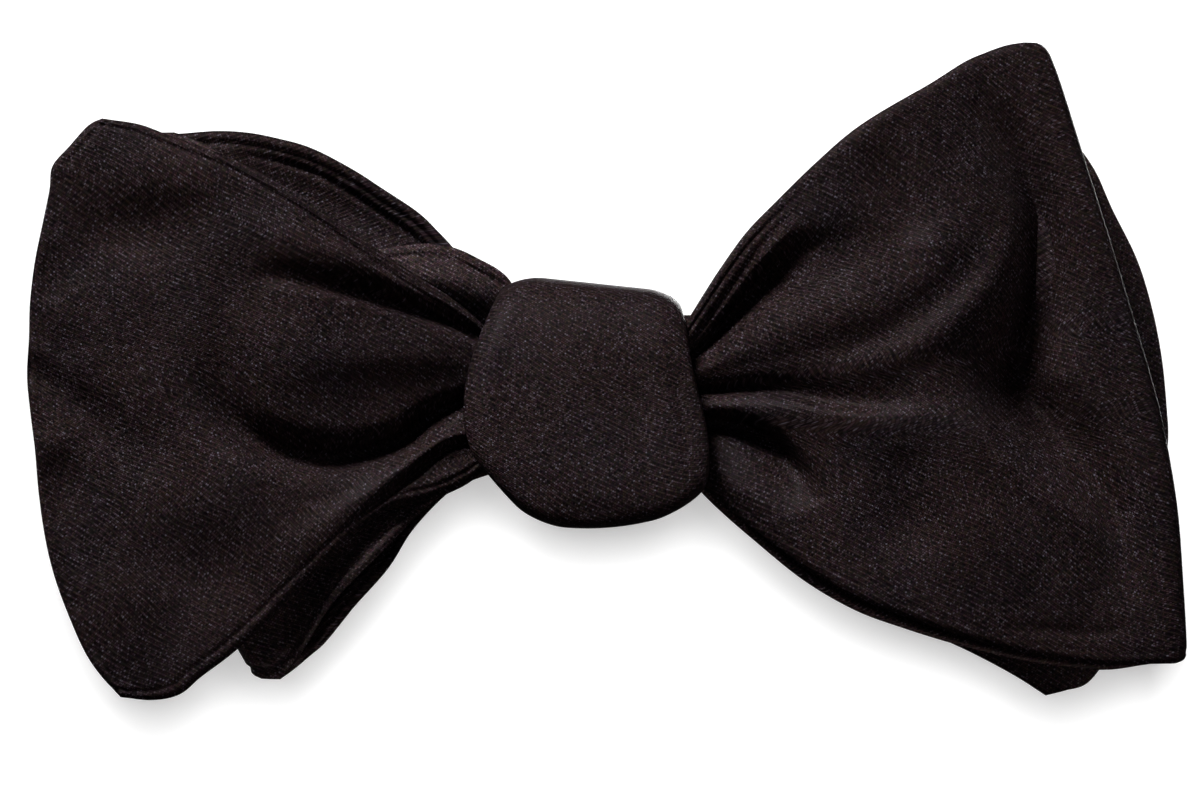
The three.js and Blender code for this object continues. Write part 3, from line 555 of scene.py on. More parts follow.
def weave_place(middle, side):
    """Flat coordinates of the cloth in mm: how far along from the knot, and how far up."""
    step = np.diff(middle, axis=0)
    length = np.hypot(step[..., 0], step[..., 1])
    along_cloth = np.concatenate([np.zeros((1, middle.shape[1])), np.cumsum(length, 0)])
    lean = DRAPE_SHIFT * (middle[..., 1] - middle[:1, :, 1])
    return np.stack([side * (along_cloth + NECK_X), middle[..., 2] + lean], -1)


def add_blade(name, limb, side, along_steps, across_steps):
    """A flat end of the tie, seamed on three sides."""
    u, v = np.meshgrid(clustered(along_steps), clustered(across_steps), indexing="ij")
    middle, to_top, to_bottom, to_end = limb_grid(limb, u, v)
    edge = np.minimum(np.minimum(to_top, to_bottom), to_end)
    groove = seam_groove(limb, u, to_top, to_bottom, to_end)
    place = np.where(to_end < np.minimum(to_top, to_bottom), middle[..., 2], middle[..., 0])
    outward = np.broadcast_to(np.array([0, limb["faces"], 0.0]), middle.shape)
    return add_plies(name, ("face", "back"), middle, outward, edge, groove, place, weave_place(middle, side),
                     limb.get("cloth", "satin"))


def add_loop(name, loop, side, steps, across_steps):
    """A bight of the tie: the front limb, the fold round its end and the rear limb."""
    u, v = np.meshgrid(clustered(steps, 0.25), clustered(across_steps), indexing="ij")
    limbs = {}
    for part in ("front", "rear"):
        points, to_top, to_bottom, to_end = limb_grid(loop[part], u, v)
        groove = seam_groove(loop[part], u, to_top, to_bottom, to_end)
        limbs[part] = [points, np.minimum(to_top, to_bottom), to_end, groove]
    half = (limbs["rear"][0][-1, :, 1] - limbs["front"][0][-1, :, 1]) / 2
    for points, _, to_end, _ in limbs.values():
        points[..., 0] -= side * (half + STACK_HALF) * smoothstep(1 - to_end / PULL_IN_REACH)
    front, rear = limbs["front"][0], limbs["rear"][0]
    turn = np.linspace(0, math.pi, FOLD_STEPS + 1)[1:-1, None]
    ends = front[-1] + (rear[-1] - front[-1]) * (turn / math.pi)[..., None]
    fold = ends.copy()
    fold[..., 0] += side * half * np.sin(turn)
    fold[..., 1] = (front[-1, :, 1] + rear[-1, :, 1]) / 2 - half * np.cos(turn)
    middle = np.concatenate([front, fold, rear[::-1]])
    across = np.ones_like(fold[..., 0])
    fold_out = np.stack([side * np.sin(turn) * across, -np.cos(turn) * across, 0 * across], -1)
    outward = np.concatenate([np.broadcast_to([0, -1.0, 0], front.shape), fold_out,
                              np.broadcast_to([0, 1.0, 0], rear.shape)])
    edge, groove = (np.concatenate([limbs["front"][k], np.repeat(limbs["front"][k][-1:], FOLD_STEPS - 1, 0),
                                    limbs["rear"][k][::-1]]) for k in (1, 3))
    return add_plies(name, ("outer_cloth", "inner_cloth"), middle, outward, edge, groove, middle[..., 0],
                     weave_place(middle, side), loop.get("cloth", "satin"), loop["lining"])


# ---------------------------------------------------------------------------
# Knot
# ---------------------------------------------------------------------------

# X of the knot's sides against Z, low to high. It leans, and pulls in at its lower left.
KNOT_LEFT = smooth_curve([(-13.3, -5.2), (-12.4, -6.6), (-11.2, -7.8), (-9.2, -9.8), (-6.9, -11.7),
                          (-4, -12.5), (-1, -12.7), (2.2, -12.4), (5, -11.6), (7.4, -10.7), (10.8, -9.2),
                          (13.3, -7.4)])
KNOT_RIGHT = smooth_curve([(-13.3, 9.6), (-12, 11.4), (-10.3, 12.3), (-8, 12.5), (-5, 12.4), (-2, 12.0),
                           (2, 11.2), (5.2, 10.6), (8, 10.3), (10.4, 9.9), (13.3, 9.2)])
KNOT_HEM = 3.2        # the wrap's sides turn under over this width
KNOT_LEAN = 0.16      # the knot's front leans back by this much of its height
KNOT_ROLL = 1.7       # how far its sides roll back
WRAP_THICKNESS = 1.15
HEM_THICKNESS = 1.9
LINING_FROM, LINING_TO = 1.35, 2.3
LINING_SIDE, LINING_WIDTH = 0.16, 0.68    # of the knot's width


def knot_top(x):
    """The knot's upper outline, which falls a little to the right."""
    return 12.8 - 0.105 * (x + 6)


def knot_bottom(x):
    """The knot's lower outline, which sags in the middle."""
    return 13.2 - 0.018 * x ** 2


def knot_ring(turn, inside):
    """Y and Z of a section round the knot at a depth inside its outer face. It is boxier below."""
    c, s = np.cos(turn), np.sin(turn)
    power = 4 + 5 * smoothstep(-s * 2)
    r = (np.abs(c) ** power + np.abs(s) ** power) ** (-1 / power)
    return -(KNOT_HALF_DEPTH - inside) * r * c, (KNOT_HALF_HEIGHT - inside) * r * s


def knot_grid(turn, across, depth):
    """Points of the knot at fractions across its width and at depths inside its outer face."""
    y, z = knot_ring(turn[:, None] + 0 * across, depth)
    left = np.interp(z, KNOT_LEFT[:, 0], KNOT_LEFT[:, 1])
    right = np.interp(z, KNOT_RIGHT[:, 0], KNOT_RIGHT[:, 1])
    x = left + (right - left) * across
    z = z * np.where(z > 0, knot_top(x), knot_bottom(x)) / KNOT_HALF_HEIGHT
    y = y + KNOT_LEAN * z * smoothstep(-y / KNOT_HALF_DEPTH)
    return np.stack([x, y + KNOT_MIDDLE_Y, z], -1), np.minimum(x - left, right - x)


KNOT_FOLDS = [
    # (x, z, depth towards the front, width on the left, width on the right)
    [(8.6, 10, 0, 0.9, 0.8), (8.8, 6, -0.15, 1.0, 0.8), (9.2, 2, -0.3, 1.0, 0.8),
     (9.8, -2, -0.35, 1.0, 0.8), (10.4, -6.5, -0.25, 0.9, 0.8), (10.8, -10.4, 0, 0.8, 0.8)],
    [(-8.6, 11, 0.1, 1.4, 1.4), (-9.6, 6, 0.35, 1.6, 1.6), (-10.2, 1, 0.2, 1.6, 1.6),
     (-10.2, -4, 0, 1.6, 1.6)],
    [(-3, 11, 0.1, 4, 4), (-2, 3, 0.4, 5, 5), (0, -6, 0.1, 5, 5)],
    [(4.4, 8, -0.1, 2.4, 2.4), (5, 0, -0.3, 2.6, 2.6), (6, -8, -0.05, 2.6, 2.6)],
    [(-9, -7.4, -0.1, 1.6, 1.6), (-5.4, -9.4, -0.25, 1.8, 1.8), (-1, -10.6, -0.2, 1.8, 1.8)],
    [(-2.4, -11.8, -0.15, 1.0, 1.0), (0.8, -11.4, -0.35, 1.0, 1.0), (4, -11.6, -0.15, 1.0, 1.0)],
]
KNOT_BACK_FOLDS = [
    [(-7, 9, -0.2, 0.5, 0.9), (-2, 5, -0.6, 0.5, 1.0), (4, -2, -0.6, 0.5, 1.0), (9, -9, -0.2, 0.5, 0.9)],
    [(-9, 2, 0.2, 1.5, 1.5), (-3, -3, 0.35, 1.8, 1.8), (4, -9, 0.1, 1.5, 1.5)],
]


def add_knot():
    """The wrap: a band of cloth round the middle, its sides turned under, over a lining."""
    turns, across_steps, under_steps = 240, 96, 22
    turn = np.linspace(-math.pi, math.pi, turns, endpoint=False)
    outer_line = clustered(across_steps, 0.55)
    inner_line = np.linspace(1, 0, under_steps + 2)[1:-1]
    across = np.concatenate([outer_line, inner_line])[None, :] * np.ones((turns, 1))
    outer = (np.arange(across.shape[1]) < across_steps)[None, :]
    _, edge = knot_grid(turn, across, 0.0)
    roll = rounded(edge, KNOT_HEM)
    hem = HEM_THICKNESS + (WRAP_THICKNESS - HEM_THICKNESS) * smoothstep((edge - 1.5) / KNOT_HEM)
    depth = np.where(outer, (1 - roll) * KNOT_ROLL, hem)
    points, _ = knot_grid(turn, across, depth)
    x, z = points[..., 0], points[..., 2]
    for folds, facing in ((KNOT_FOLDS, np.cos(turn)), (KNOT_BACK_FOLDS, -np.cos(turn))):
        push = sum(crease(x, z, spine) for spine in folds) + 0.6 * undulation(x * 0.7, z * 0.5)
        strength = np.clip(facing * 3, 0, 1)[:, None] * np.where(outer, 1, 0)
        points[..., 1] -= push * strength * np.sign(np.cos(turn))[:, None]
    rows, columns = x.shape
    faces = [(i * columns + j, i * columns + (j + 1) % columns,
              (i + 1) % rows * columns + (j + 1) % columns, (i + 1) % rows * columns + j)
             for i in range(rows) for j in range(columns)]
    ring_y, ring_z = knot_ring(turn, 0)
    around = np.concatenate([[0], np.cumsum(np.hypot(np.diff(ring_y), np.diff(ring_z)))])
    uv = np.stack([x, (around - around[turns // 2])[:, None] + 0 * x], -1)
    wrap = make_mesh("knot_wrap_satin", points.reshape(-1, 3), faces, uv.reshape(-1, 2))
    lining_turn = np.linspace(0, 2 * math.pi, 97)
    lining_across = LINING_SIDE + LINING_WIDTH * np.linspace(0, 1, 25)[None, :] * np.ones((97, 1))
    lining_outer, _ = knot_grid(lining_turn, lining_across, LINING_FROM * np.ones_like(lining_across))
    lining_inner, _ = knot_grid(lining_turn, lining_across, LINING_TO * np.ones_like(lining_across))
    lining = shell("knot_lining_satin", lining_outer, lining_inner, lining_outer[..., [0, 2]])
    face_outward(wrap)
    # the lining takes the slightly darker copy of the satin: painted shade
    return [(wrap, "knot_wrap", "satin"), (lining, "knot_lining", "satin_reverse")]


def add_gather(node):
    """The bow's cloth where the knot squeezes it: a bundle of pleats along X."""
    low, high = box_mm(node)
    centre, half = (low + high) / 2, (high - low) / 2
    pleats, steps, lengths = 9, 150, 30
    turn = np.linspace(0, 2 * math.pi, steps + 1)
    place = np.linspace(-1, 1, lengths)[:, None]
    wave = 1 - 0.09 * (1 + np.cos(pleats * turn + 0.5 * place))
    c, s = np.cos(turn), np.sin(turn)
    y = centre[1] + half[1] * wave * np.sign(c) * np.abs(c) ** 0.6
    z = centre[2] + half[2] * wave * np.sign(s) * np.abs(s) ** 0.6
    x = np.broadcast_to(centre[0] + half[0] * place, y.shape)
    grid = np.stack([x, y, z], -1)
    ends = [grid[:1] * [1, 0, 0] + centre * [0, 1, 1], grid[-1:] * [1, 0, 0] + centre * [0, 1, 1]]
    rows = np.concatenate([ends[0], grid, ends[1]])
    piece = make_mesh(f"{node}_satin", rows.reshape(-1, 3), grid_faces(*rows.shape[:2]),
                      np.stack([rows[..., 0], rows[..., 2]], -1).reshape(-1, 2))
    weld(piece)
    # the gather takes the slightly darker copy of the satin: painted shade
    return [(piece, node, "satin_reverse")]


def weld(thing, distance=1e-7):
    """Joins vertices that lie on each other and drops faces that have no area."""
    body = bmesh.new()
    body.from_mesh(thing.data)
    bmesh.ops.remove_doubles(body, verts=body.verts, dist=distance)
    bmesh.ops.dissolve_degenerate(body, edges=body.edges, dist=distance)
    bmesh.ops.recalc_face_normals(body, faces=body.faces)
    body.to_mesh(thing.data)
    body.free()
    face_outward(thing)


# ---------------------------------------------------------------------------
# Neckband and adjuster strap
# ---------------------------------------------------------------------------

EYE_LOW, EYE_HIGH = box_mm("eye")
BAND_LOW, BAND_HIGH = box_mm("neckband_right_outer_cloth")
RUN_LOW, RUN_HIGH = box_mm("strap_main_run")

BAND_STACK = 1.0                              # half of the band's thickness
BAND_MIDDLE_Z = (BAND_LOW[2] + BAND_HIGH[2]) / 2
BAND_HALF_HEIGHT = (BAND_HIGH[2] - BAND_LOW[2]) / 2
STRAP_HALF_HEIGHT = (RUN_HIGH[2] - RUN_LOW[2]) / 2
LOOP_HALF_WIDTH = BAND_HIGH[0] - BAND_STACK
LOOP_HALF_DEPTH = (EYE_LOW[1] + EYE_HIGH[1]) / 2
LOOP_CORNER = 38
FRONT_STRAIGHT = LOOP_HALF_WIDTH - LOOP_CORNER
CORNER_LENGTH = math.pi / 2 * LOOP_CORNER
SIDE_STRAIGHT = 2 * (LOOP_HALF_DEPTH - LOOP_CORNER)
HALF_LOOP = 2 * FRONT_STRAIGHT + 2 * CORNER_LENGTH + SIDE_STRAIGHT
HOOK_BAR = HALF_LOOP - 10.75                  # the bars' places along the loop
EYE_BAR = HALF_LOOP - 10.4
HOOK_BAR_REACH = 1.15                         # from a bar's middle to the strap's inner face
EYE_BAR_REACH = 1.3
LEFT_BAND_END = 76
RIGHT_BAND_END = HALF_LOOP - 18
TAIL_END = 84
STRAP_THICKNESS = 0.8
RUN_MIDDLE = 0.6                              # each run of the strap, from the loop's middle


def on_loop(s, n):
    """X and Y of a point on the neckband's loop: s from the knot, positive to the right, n outward."""
    side = np.where(s < 0, -1, 1)
    far = np.abs(s)
    front = far <= HALF_LOOP / 2
    t = np.where(front, far, HALF_LOOP - far)
    turn = np.clip((t - FRONT_STRAIGHT) / LOOP_CORNER, 0, math.pi / 2)
    x = np.minimum(t, FRONT_STRAIGHT) + (LOOP_CORNER + n) * np.sin(turn)
    along_side = np.maximum(t - FRONT_STRAIGHT - CORNER_LENGTH, 0)
    y = LOOP_HALF_DEPTH - LOOP_CORNER - along_side + (LOOP_CORNER + n) * np.cos(turn)
    return side * x, np.where(front, -y, y)


def band_ripple(s, z):
    """The band isn't quite flat: slow waves along it and a faint pull across."""
    return 0.10 * np.sin(s / 7.3) * np.cos(z / 6 + s / 31) + 0.05 * np.sin(s / 2.9 + z / 3.1)


def loop_points(s, n, z):
    """X, Y, Z of points on the neckband's loop, z from the band's middle height."""
    x, y = on_loop(s, n)
    return np.stack([x, y, BAND_MIDDLE_Z + z], -1)


def add_band(side, end, canvas_end):
    """One half of the neckband: outer and inner cloth meeting in its pressed edges, with canvas between."""
    name = "neckband_left" if side < 0 else "neckband_right"
    edge_half, pressed_half = 0.18, BAND_STACK - 0.08
    lengths = np.linspace(0.15, end, int(end / 0.9))
    heights = BAND_HALF_HEIGHT * (2 * clustered(44, 0.6) - 1)
    s, z = np.meshgrid(side * lengths, heights, indexing="ij")
    edge = np.minimum(BAND_HALF_HEIGHT - np.abs(z), end - np.abs(s))
    hidden = smoothstep((np.abs(s) - 14) / 6)
    press = rounded(edge, 1.1)
    pieces = []
    for label, direction in (("outer_cloth", 1), ("inner_cloth", -1)):
        face = edge_half + (pressed_half - edge_half) * press + hidden * band_ripple(s, z) * press * 0.5
        if direction < 0:    # the seam where the band closes, and the swell beside it
            face -= hidden * 0.30 * np.exp(-((z - 1.2) / 0.22) ** 2) * press
            face += hidden * 0.10 * np.exp(-((z - 2.0) / 0.5) ** 2) * press
        back = 0.04 + 0.31 * smoothstep((edge - 0.5) / 1.5)
        piece = shell(f"{name}_{label}_satin", loop_points(s, direction * face, z),
                      loop_points(s, direction * back, z), np.stack([s, z], -1))
        # the inner cloth takes the slightly darker copy of the satin: painted shade
        pieces.append((piece, f"{name}_{label}", "satin" if direction > 0 else "satin_reverse"))
    s, z = np.meshgrid(side * np.linspace(0.15, canvas_end, int(canvas_end / 1.8)),
                       (BAND_HALF_HEIGHT - 1) * np.linspace(-1, 1, 15), indexing="ij")
    half = np.full_like(s, 0.16)
    half[:, [0, -1]] = 0.06
    canvas = shell(f"{name}_canvas", loop_points(s, half, z), loop_points(s, -half, z), np.stack([s, z], -1))
    pieces.append((canvas, f"{name}_interlining", "interlining_canvas"))
    return pieces


def dense_path(points, step):
    """A smooth path through (s, n) points, sampled evenly, with its unit normals."""
    line = smooth_curve(points, 1200)
    length = np.concatenate([[0], np.cumsum(np.linalg.norm(np.diff(line, axis=0), axis=1))])
    even = np.linspace(0, length[-1], int(length[-1] / step) + 2)
    path = np.stack([np.interp(even, length, line[:, k]) for k in range(2)], 1)
    tangent = np.gradient(path, axis=0)
    tangent /= np.linalg.norm(tangent, axis=1)[:, None]
    return path, np.stack([-tangent[:, 1], tangent[:, 0]], 1), even


def strap_shell(name, points, thickness, step=0.8):
    """A flat strap that follows a path of (s, n) points, with pressed edges."""
    path, normal, length = dense_path(points, step)
    heights = STRAP_HALF_HEIGHT * (2 * clustered(36, 0.6) - 1)
    edge = STRAP_HALF_HEIGHT - np.abs(heights)
    tip = np.minimum(length, length[-1] - length)
    seam = 0.09 * np.exp(-((edge - 1.3) / 0.22) ** 2)
    pressed = rounded(edge, 0.7)[None, :] * 0.75 + 0.25
    closed = rounded(tip, 0.6)[:, None] * 0.8 + 0.2
    half = thickness / 2 * np.minimum(pressed, closed)
    half = half - seam[None, :] * np.ones((len(path), 1))
    grids = []
    for direction in (1, -1):
        s = path[:, 0, None] + direction * half * normal[:, 0, None]
        n = path[:, 1, None] + direction * half * normal[:, 1, None]
        grids.append(loop_points(s, n, heights[None, :] * np.ones((len(path), 1))))
    uv = np.stack(np.meshgrid(length, heights, indexing="ij"), -1)
    return shell(name, grids[0], grids[1], uv)


def turn_points(bar, away, radius, steps=9):
    """(s, n) points of a turn round a bar, from the inside of the loop to its outside."""
    return [(bar - away * radius * math.sin(a), -radius * math.cos(a))
            for a in np.linspace(0, math.pi, steps)]


def add_strap():
    """One length of strap: out of the left band, round the hook's bar and back to its free end."""
    fold = HOOK_BAR_REACH + STRAP_THICKNESS / 2
    start = [(-69.5, 0), (-72.5, 0), (-76, -0.12), (-80, -0.5), (-84, -RUN_MIDDLE)]
    run = [(-s, -RUN_MIDDLE) for s in np.arange(92, HOOK_BAR - 16, 8)]
    into = [(-(HOOK_BAR - 9), -RUN_MIDDLE), (-(HOOK_BAR - 4.5), -1.1), (-(HOOK_BAR - 2), -fold)]
    turn = turn_points(-HOOK_BAR, 1, fold)[1:-1]
    back = [(s, -n) for s, n in reversed(run + into)]
    return strap_shell("adjuster_strap", start + run + into + turn + back + [(-TAIL_END, RUN_MIDDLE)],
                       STRAP_THICKNESS)


def add_eye_tab():
    """A short tab out of the right band, round the eye's bar and back."""
    reach = EYE_BAR_REACH + STRAP_THICKNESS / 2
    run = [(EYE_BAR - d, -reach) for d in (16, 12, 8, 4, 2)]
    turn = turn_points(EYE_BAR, -1, reach)[1:-1]
    back = [(s, -n) for s, n in reversed(run)]
    return strap_shell("eye_tab_satin", run + turn + back, STRAP_THICKNESS, 0.6)


# ---------------------------------------------------------------------------
# Stitches
# ---------------------------------------------------------------------------


def thread_tubes(name, lines, radius):
    """Short lengths of thread as one mesh. Each line is a list of points in millimetres."""
    sides = 6
    points, faces = [], []
    for line in lines:
        line = np.asarray(line, float)
        tangent = np.gradient(line, axis=0)
        tangent /= np.linalg.norm(tangent, axis=1)[:, None]
        across = np.cross(tangent, [0, 0, 1.0])
        flat = np.linalg.norm(across, axis=1) < 0.2
        across[flat] = np.cross(tangent[flat], [1.0, 0, 0])
        across /= np.linalg.norm(across, axis=1)[:, None]
        other = np.cross(tangent, across)
        first = len(points)
        ends = np.minimum(np.arange(len(line)), np.arange(len(line))[::-1])
        thin = np.where(ends == 0, 0.55, 1)
        for p, a, b, r in zip(line, across, other, thin):
            for k in range(sides):
                angle = 2 * math.pi * k / sides
                points.append(p + radius * r * (math.cos(angle) * a + math.sin(angle) * b))
        for i in range(len(line) - 1):
            for k in range(sides):
                a, b = first + i * sides + k, first + i * sides + (k + 1) % sides
                faces.append((a, b, b + sides, a + sides))
        faces.append(tuple(first + k for k in reversed(range(sides))))
        faces.append(tuple(first + (len(line) - 1) * sides + k for k in range(sides)))
    thing = make_mesh(name, points, faces, np.asarray(points)[:, [0, 2]])
    face_outward(thing)
    return thing


def stitch(s_from, s_to, z_from, z_to, base, rise, steps=6):
    """One stitch on the band: it rises out of the cloth and goes back in."""
    t = np.linspace(0, 1, steps)
    s, z = s_from + (s_to - s_from) * t, z_from + (z_to - z_from) * t
    return loop_points(s, base + rise * np.sin(math.pi * t) ** 0.6, z)


def add_bar_tack(node, s, base):
    """A dense zigzag of thread that holds two layers together."""
    half_width, half_height, pitch, rise = 0.7, STRAP_HALF_HEIGHT - 1, 0.42, 0.42
    lines = []
    for i, z in enumerate(np.arange(-half_height, half_height, pitch)):
        slant = pitch / 2 if i % 2 else -pitch / 2
        lines.append(stitch(s - half_width, s + half_width, z - slant, z + slant, base, rise))
    return [(thread_tubes(f"{node}_thread", lines, 0.15), node, "thread")]


def add_slip_stitches(name, side, s_from, s_to):
    """Hand stitches that close the band's seam on its inner face."""
    lines = [stitch(side * s, side * (s + 2.0), 1.05, 1.55, -BAND_STACK + 0.18, -0.20)
             for s in np.arange(s_from, s_to, 5.2)]
    return thread_tubes(name, lines, 0.13)


# ---------------------------------------------------------------------------
# Metal fittings
# ---------------------------------------------------------------------------


def add_fitting(node, bevel):
    """The CAD shape with its stamped edges rounded."""
    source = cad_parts[node]
    source = source if isinstance(source, bpy.types.Object) else bpy.data.objects[node]
    thing = bpy.data.objects.new(f"{node}_metal", source.data.copy())
    bpy.context.scene.collection.objects.link(thing)
    thing.data.materials.clear()
    body = bmesh.new()
    body.from_mesh(thing.data)
    bmesh.ops.remove_doubles(body, verts=body.verts, dist=1e-6)
    bmesh.ops.dissolve_limit(body, angle_limit=math.radians(1), verts=body.verts, edges=body.edges)
    sharp = [e for e in body.edges if len(e.link_faces) == 2 and e.calc_face_angle(0) > math.radians(30)]
    bmesh.ops.bevel(body, geom=sharp, offset=bevel * MM, segments=3, profile=0.5, affect="EDGES",
                    clamp_overlap=True)
    bmesh.ops.triangulate(body, faces=[f for f in body.faces if len(f.verts) > 4])
    body.to_mesh(thing.data)
    body.free()
    thing.data.polygons.foreach_set("use_smooth", np.ones(len(thing.data.polygons), bool))
    thing.data.set_sharp_from_angle(angle=math.radians(40))
    layer = thing.data.uv_layers.new(name="cloth")
    place = np.array([v.co for v in thing.data.vertices]) / MM
    corner = np.array([loop.vertex_index for loop in thing.data.loops])
    layer.data.foreach_set("uv", place[corner][:, [0, 2]].astype(np.float32).ravel())
    return thing


# ---------------------------------------------------------------------------
# Materials
# ---------------------------------------------------------------------------


class Nodes:
    """Short calls for building a material's node tree."""

    def __init__(self, name):
        self.material = bpy.data.materials.new(name)
        self.material.use_nodes = True
        self.tree = self.material.node_tree
        self.shader = self.tree.nodes["Principled BSDF"]

    def add(self, kind, **inputs):
        node = self.tree.nodes.new(kind)
        for key, value in inputs.items():
            if key.startswith("_"):
                setattr(node, key[1:], value)
            else:
                self.set(node.inputs[key.replace("_", " ")], value)
        return node

    def set(self, socket, value):
        if isinstance(value, bpy.types.NodeSocket):
            self.tree.links.new(value, socket)
        else:
            socket.default_value = value

    def shade(self, **inputs):
        """Sets or links the shader's inputs, with _ for a space in their names."""
        for key, value in inputs.items():
            self.set(self.shader.inputs[key.replace("_", " ")], value)

    def bump(self, strength, distance, height):
        node = self.add("ShaderNodeBump", Strength=strength, Distance=distance, Height=height)
        self.shade(Normal=node.outputs["Normal"])

    def mix(self, factor, first, second):
        """A colour between two."""
        node = self.add("ShaderNodeMix", _data_type="RGBA", Factor=factor)
        self.set(node.inputs[6], first)
        self.set(node.inputs[7], second)
        return node.outputs[2]

    def vector(self, operation, *values):
        node = self.add("ShaderNodeVectorMath", _operation=operation)
        for socket, value in zip(node.inputs, values):
            self.set(socket, value)
        return node.outputs["Vector"]

    def noise(self, place, scale, detail, **more):
        """Soft noise from 0 to 1 at a place."""
        return self.add("ShaderNodeTexNoise", Vector=place, Scale=scale, Detail=detail, **more).outputs["Fac"]

    def math(self, operation, a, b=0.0, c=0.0):
        node = self.tree.nodes.new("ShaderNodeMath")
        node.operation = operation
        for socket, value in zip(node.inputs, (a, b, c)):
            self.set(socket, value)
        return node.outputs[0]

    def ramp(self, value, stops):
        node = self.tree.nodes.new("ShaderNodeValToRGB")
        self.set(node.inputs[0], value)
        ramp = node.color_ramp
        while len(ramp.elements) > len(stops):
            ramp.elements.remove(ramp.elements[-1])
        while len(ramp.elements) < len(stops):
            ramp.elements.new(0.5)
        for element, (position, colour) in zip(ramp.elements, stops):
            element.position = position
            element.color = (*colour, 1)
        return node.outputs["Color"]


TWILL_PITCH = 0.47    # mm between the satin's diagonal ribs
THREAD_WIDE, THREAD_LONG = TWILL_PITCH / 2, 0.20
WEAVE_DEGREES = 118   # the ribs' turn from the cloth's length
CANVAS_PITCH = 0.7


def cooler(colour):
    """The tone that satin takes where its threads lie the other way to the light."""
    return colour[0] * 0.80, colour[1] * 0.94, colour[2] * 1.10


def satin(name, dark, light, painted_glint):
    """Silk satin: fine diagonal ribs of short threads. Each thread takes its own brightness, a few carry cool
    glints that are highlights painted into the colour, and the tone drifts slowly over the cloth."""
    n = Nodes(name)
    uv = n.add("ShaderNodeUVMap", _uv_map="cloth").outputs["UV"]
    bend = n.noise(uv, 0.06, 1.0)
    turned = n.add("ShaderNodeMapping", Vector=uv, Rotation=(0, 0, math.radians(WEAVE_DEGREES)))
    split = n.add("ShaderNodeSeparateXYZ", Vector=turned.outputs["Vector"])
    across = n.math("MULTIPLY_ADD", bend, 3.0, split.outputs["X"])
    down = n.math("MULTIPLY_ADD", bend, 2.0, split.outputs["Y"])
    rib = n.math("SINE", n.math("MULTIPLY", across, 2 * math.pi / TWILL_PITCH))
    thread = n.math("DIVIDE", across, THREAD_WIDE)
    row = n.math("FLOOR", thread)
    place = n.math("MULTIPLY_ADD", row, 0.37, n.math("DIVIDE", down, THREAD_LONG))
    cell = n.add("ShaderNodeCombineXYZ", X=row, Y=n.math("FLOOR", place), Z=0.0)
    noise = n.add("ShaderNodeTexWhiteNoise", _noise_dimensions="2D", Vector=cell.outputs["Vector"])
    chance = noise.outputs["Value"]
    from_middle = n.math("SUBTRACT", n.math("FRACT", thread), 0.5)
    from_end = n.math("SUBTRACT", n.math("FRACT", place), 0.5)
    apart = n.math("MULTIPLY_ADD", from_middle, from_middle, n.math("MULTIPLY", from_end, from_end))
    dot = n.add("ShaderNodeClamp", Value=n.math("MULTIPLY_ADD", apart, -4.2, 1.15)).outputs["Result"]
    cloud = n.noise(uv, 0.10, 3.0, Roughness=0.55)
    grain = n.noise(uv, 1.3, 3.0, Roughness=0.75)
    level = n.math("MULTIPLY_ADD", rib, 0.13, -0.12)
    level = n.math("MULTIPLY_ADD", n.math("MULTIPLY", chance, dot), 0.56, level)
    level = n.math("MULTIPLY_ADD", cloud, 0.40, level)
    level = n.math("MULTIPLY_ADD", grain, 0.46, level)
    drift = n.noise(uv, 0.085, 2.0, Roughness=0.5)
    cool = n.add("ShaderNodeMapRange", Value=drift, From_Min=0.44, From_Max=0.72)
    warm_cloth = n.ramp(level, [(0.16, dark), (0.84, light)])
    cool_cloth = n.ramp(level, [(0.20, dark), (0.84, cooler(light))])
    colour = n.mix(cool.outputs["Result"], warm_cloth, cool_cloth)
    hue = n.vector("MULTIPLY_ADD", noise.outputs["Color"], (0.5, 0.5, 0.5), (0.75, 0.75, 0.75))
    tinted = n.vector("MULTIPLY", colour, hue)
    patchy = n.math("MULTIPLY_ADD", grain, 1.6, n.math("MULTIPLY_ADD", rib, 0.25, -0.25))
    # where a thread shows a painted glint: a highlight painted into the base colour
    painted_glint_amount = n.math("MULTIPLY", n.math("POWER", chance, 8.0), n.math("MULTIPLY", dot, patchy))
    painted_glint_amount = n.add("ShaderNodeClamp", Value=painted_glint_amount)
    n.shade(Base_Color=n.mix(painted_glint_amount.outputs["Result"], tinted, (*painted_glint, 1)),
            Roughness=n.math("MULTIPLY_ADD", chance, 0.16, 0.42),
            Specular_IOR_Level=0.06, Specular_Tint=(1.0, 0.93, 0.97, 1))
    height = n.math("MULTIPLY_ADD", rib, 0.35, n.math("MULTIPLY", chance, dot))
    n.bump(0.4, 0.00008, height)
    return n.material


def canvas(name):
    """Undyed interlining with a plain open weave."""
    n = Nodes(name)
    uv = n.add("ShaderNodeUVMap", _uv_map="cloth").outputs["UV"]
    split = n.add("ShaderNodeSeparateXYZ", Vector=uv)
    warp = n.math("SINE", n.math("MULTIPLY", split.outputs["X"], 2 * math.pi / CANVAS_PITCH))
    weft = n.math("SINE", n.math("MULTIPLY", split.outputs["Y"], 2 * math.pi / CANVAS_PITCH))
    weave = n.math("MULTIPLY", warp, weft)
    level = n.math("MULTIPLY_ADD", weave, 0.18, n.noise(uv, 1.4, 3.0))
    n.shade(Base_Color=n.ramp(level, [(0.3, (0.50, 0.46, 0.38)), (0.7, (0.74, 0.70, 0.61))]), Roughness=0.95)
    n.bump(0.6, 0.0001, weave)
    return n.material


